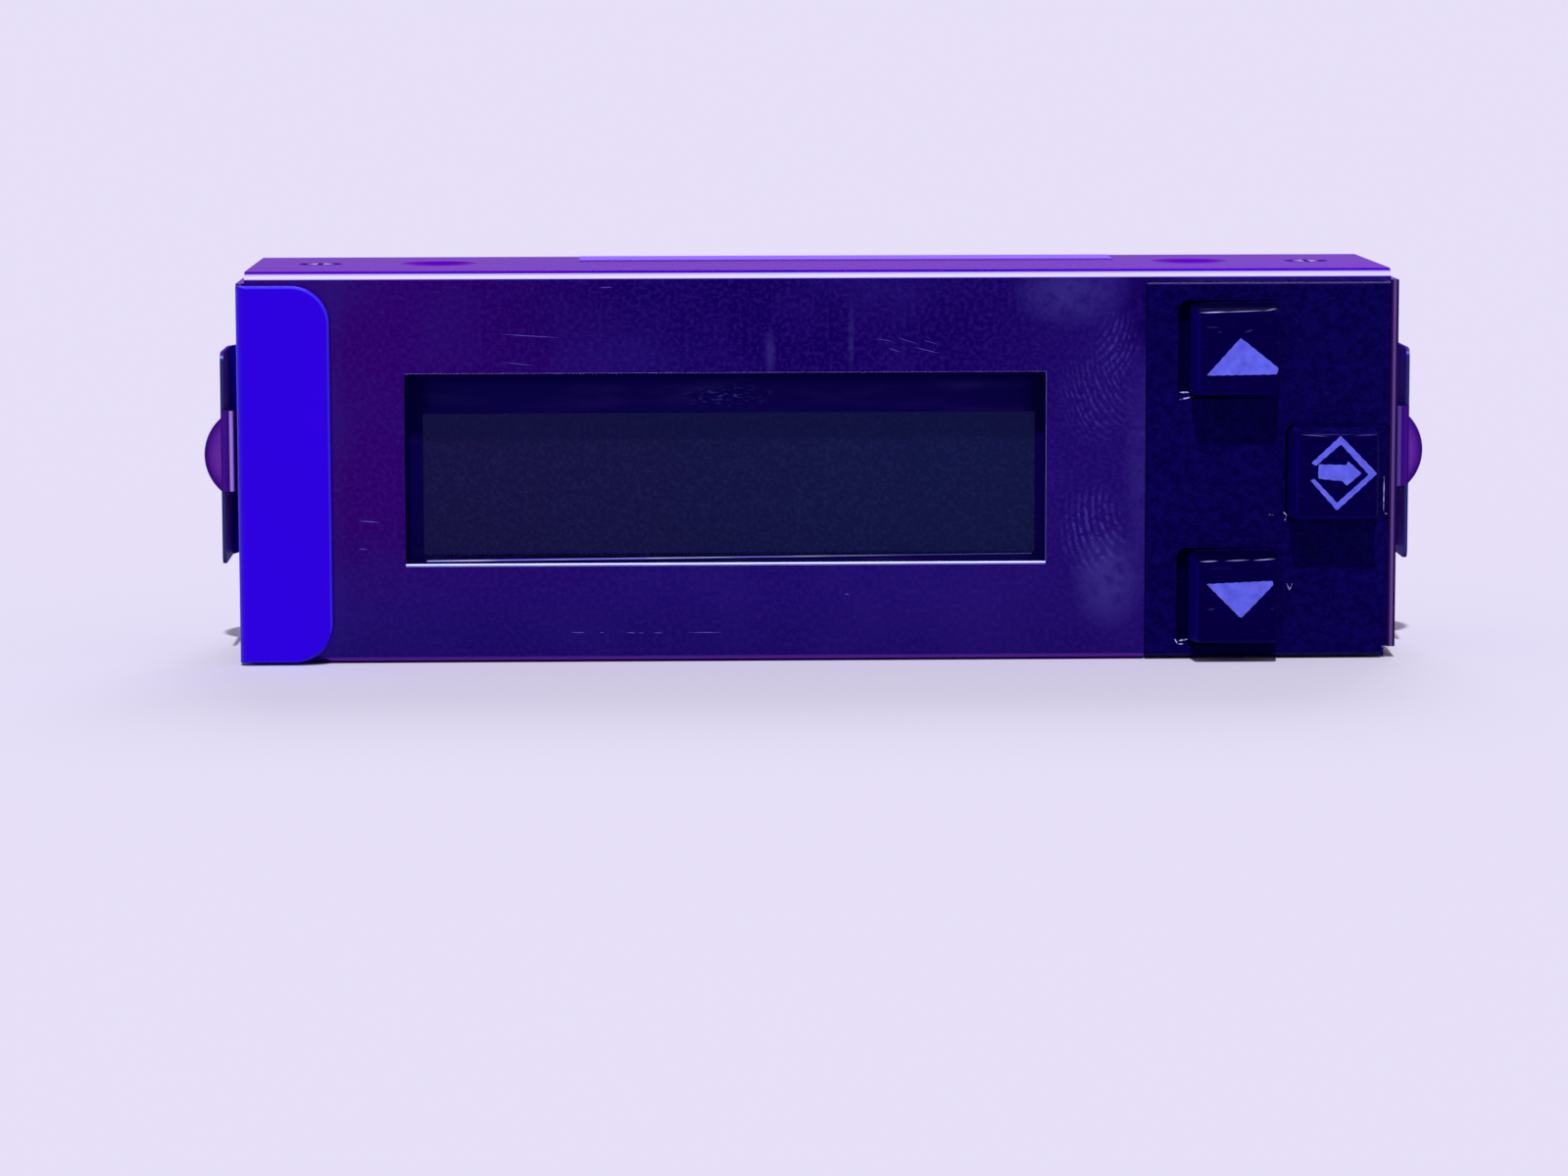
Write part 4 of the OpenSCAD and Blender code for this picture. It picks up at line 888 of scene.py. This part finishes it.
def line_wells(plastic):
    """A liner in each well: a thin collar round the cap, set back on the left of it above a low web."""
    face_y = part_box("button_bezel")[0].y
    gap = LINER_GAP * MM
    half = (CAP_WIDTH / 2 + LINER_GAP) * MM
    for name, (left, right, bottom, top) in WELLS.items():
        low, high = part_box(f"{name}_switch_plunger")
        cap_low, cap_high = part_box(f"{name}_button_cap")
        middle = (low.x + high.x) / 2
        cap = (middle - half, middle + half, cap_low.z - gap, cap_high.z + gap)
        inner = round_outline(*cap, (CAP_RADIUS + LINER_GAP) * MM)
        bite = LINER_BITE if name != "enter" else 0.0
        well = mm(left - LINER_BITE, right + bite, bottom - LINER_BITE, top + LINER_BITE)
        outer = round_outline(*well, (WELL_RADIUS + LINER_BITE) * MM)
        shape = bmesh.new()
        rings = []
        fronts_and_backs = [(outer, 0), (inner, 0), (inner, LINER_THICKNESS), (outer, LINER_THICKNESS)]
        for outline, thickness in fronts_and_backs:
            ring = []
            for x, z in outline:
                depth = LINER_LEFT_DEPTH if x < cap[0] + CAP_RADIUS * MM else LINER_DEPTH
                ring.append(shape.verts.new((x, face_y + (depth + thickness) * MM, z)))
            rings.append(ring)
        for ring, following in zip(rings, rings[1:] + rings[:1]):
            for i in range(len(ring)):
                shape.faces.new((ring[i - 1], ring[i], following[i], following[i - 1]))
        foot, head = well[2], (bottom + WEB_HEIGHT) * MM
        web = [(well[0], foot), (cap[0], foot), (cap[0], head), (well[0], head)]
        add_prism(shape, [(x, face_y, z) for x, z in web], -LINER_DEPTH * MM, LINER_THICKNESS * MM)
        add_solid(f"{name}_well_liner", shape, plastic, "module")


def dress_nodes(finishes):
    """Gives every node of the frame the finish of its slot."""
    for part in frame["record"]["subparts"]:
        materials = frame["nodes"][part["node"]].data.materials
        materials.clear()
        materials.append(finishes[part["material_slot"]])


def set_floor(colour):
    """A plain pale floor that reaches past the view."""
    material = new_material("floor_matt_paint", Base_Color=colour, Roughness=0.9, Specular_IOR_Level=0.0)[0]
    shape = bmesh.new()
    bmesh.ops.create_circle(shape, cap_ends=True, radius=FLOOR_RADIUS, segments=FLOOR_SIDES)
    show("floor", new_mesh("floor", shape, material))


def set_sun(name, strength, angle, elevation, azimuth):
    """A soft lamp far away. Azimuth 0 shines from the front, 90 from the right and 180 from behind."""
    lamp = bpy.data.lights.new(name, "SUN")
    lamp.energy = strength
    lamp.angle = math.radians(angle)
    turn = Matrix.Rotation(math.radians(azimuth), 4, "Z")
    show(name, lamp).matrix_world = turn @ Matrix.Rotation(math.radians(90 - elevation), 4, "X")


def set_world(colour, strength, backdrop):
    """Even soft light from all round, with a pale backdrop where the eye sees it directly or in gloss."""
    world = bpy.data.worlds.new("soft_studio")
    world.use_nodes = True
    tree = world.node_tree
    tree.nodes.clear()
    path = add(tree, "LightPath").outputs
    seen = add(tree, "Math", {0: path["Is Camera Ray"], 1: path["Is Glossy Ray"]}, operation="MAXIMUM")
    seen = add(tree, "Math", {0: seen, 1: path["Is Transmission Ray"]}, operation="MAXIMUM")
    light = add(tree, "Background", {"Color": colour, "Strength": strength})
    shown = add(tree, "Background", {"Color": backdrop})
    both = add(tree, "MixShader", {0: seen, 1: light, 2: shown})
    add(tree, "OutputWorld", {"Surface": both})
    bpy.context.scene.world = world


def set_camera():
    """A camera at the photograph's viewing angle."""
    lens = bpy.data.cameras.new("camera")
    lens.sensor_width = SENSOR_WIDTH
    lens.lens = FOCAL_PIXELS * SENSOR_WIDTH / PHOTO_WIDTH
    camera = show("camera", lens)
    yaw = Matrix.Rotation(math.radians(-CAMERA_YAW), 4, "Z")
    pitch = Matrix.Rotation(math.radians(90 - CAMERA_PITCH), 4, "X")
    roll = Matrix.Rotation(math.radians(CAMERA_ROLL), 4, "Z")
    camera.matrix_world = Matrix.Translation(Vector(CAMERA_AT) * MM) @ yaw @ pitch @ roll
    bpy.context.scene.camera = camera


nylon = black_nylon()
spark_abs = bezel_abs()
dress_nodes({
    "bright_steel": plated_sheet_steel(),
    "spring_steel": spring_strip(),
    "fastener_steel": screw_steel(),
    "blue_plastic": tab_abs(),
    "label_paper": label_stock(),
    "black_bezel_plastic": spark_abs,
    "black_cap_plastic": cap_abs(),
    "white_plastic": white_acetal(),
    "switch_plastic": nylon,
    "black_painted_steel": frame_paint(),
    "lcd_glass": display_glass(),
    "contact_rubber": striped_silicone(),
    "circuit_board": solder_mask(),
    "chip_epoxy": chip_epoxy(),
    "connector_plastic": nylon,
    "pin_brass": pin_brass(),
    "capacitor_can": drawn_can(),
})

ink = mark_ink()
print_mark("up_mark", UP_MARK, "up", ink)
print_mark("down_mark", DOWN_MARK, "down", ink)
print_mark("enter_diamond", ENTER_DIAMOND, "enter", ink)
print_mark("enter_arrow", ENTER_ARROW, "enter", ink)

scratched_or_faint_highlight = scratch_or_faint_highlight_steel()
round_window(window_highlight_steel(), scratched_or_faint_highlight)
edge_film(film_edge_highlight())
line_wells(spark_abs)
scratch("face_scratches", SCRATCHES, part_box("front_cover")[0].y, scratched_or_faint_highlight)
# Painted glints at the foot of the wells and along the bezel's right edge, and one small scuff
scratch("bezel_glints_and_scuff", BEZEL_GLINTS_AND_SCUFF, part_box("button_bezel")[0].y, glint_and_scuff_abs())

set_floor("#d4cee2")
set_world("#f4f2ff", strength=0.26, backdrop="#dcd4fa")
set_sun("key_lamp", strength=2.95, angle=2, elevation=56, azimuth=-3)
set_sun("back_lamp", strength=0.9, angle=30, elevation=42, azimuth=172)
set_camera()
bpy.context.scene.view_settings.view_transform = "Standard"
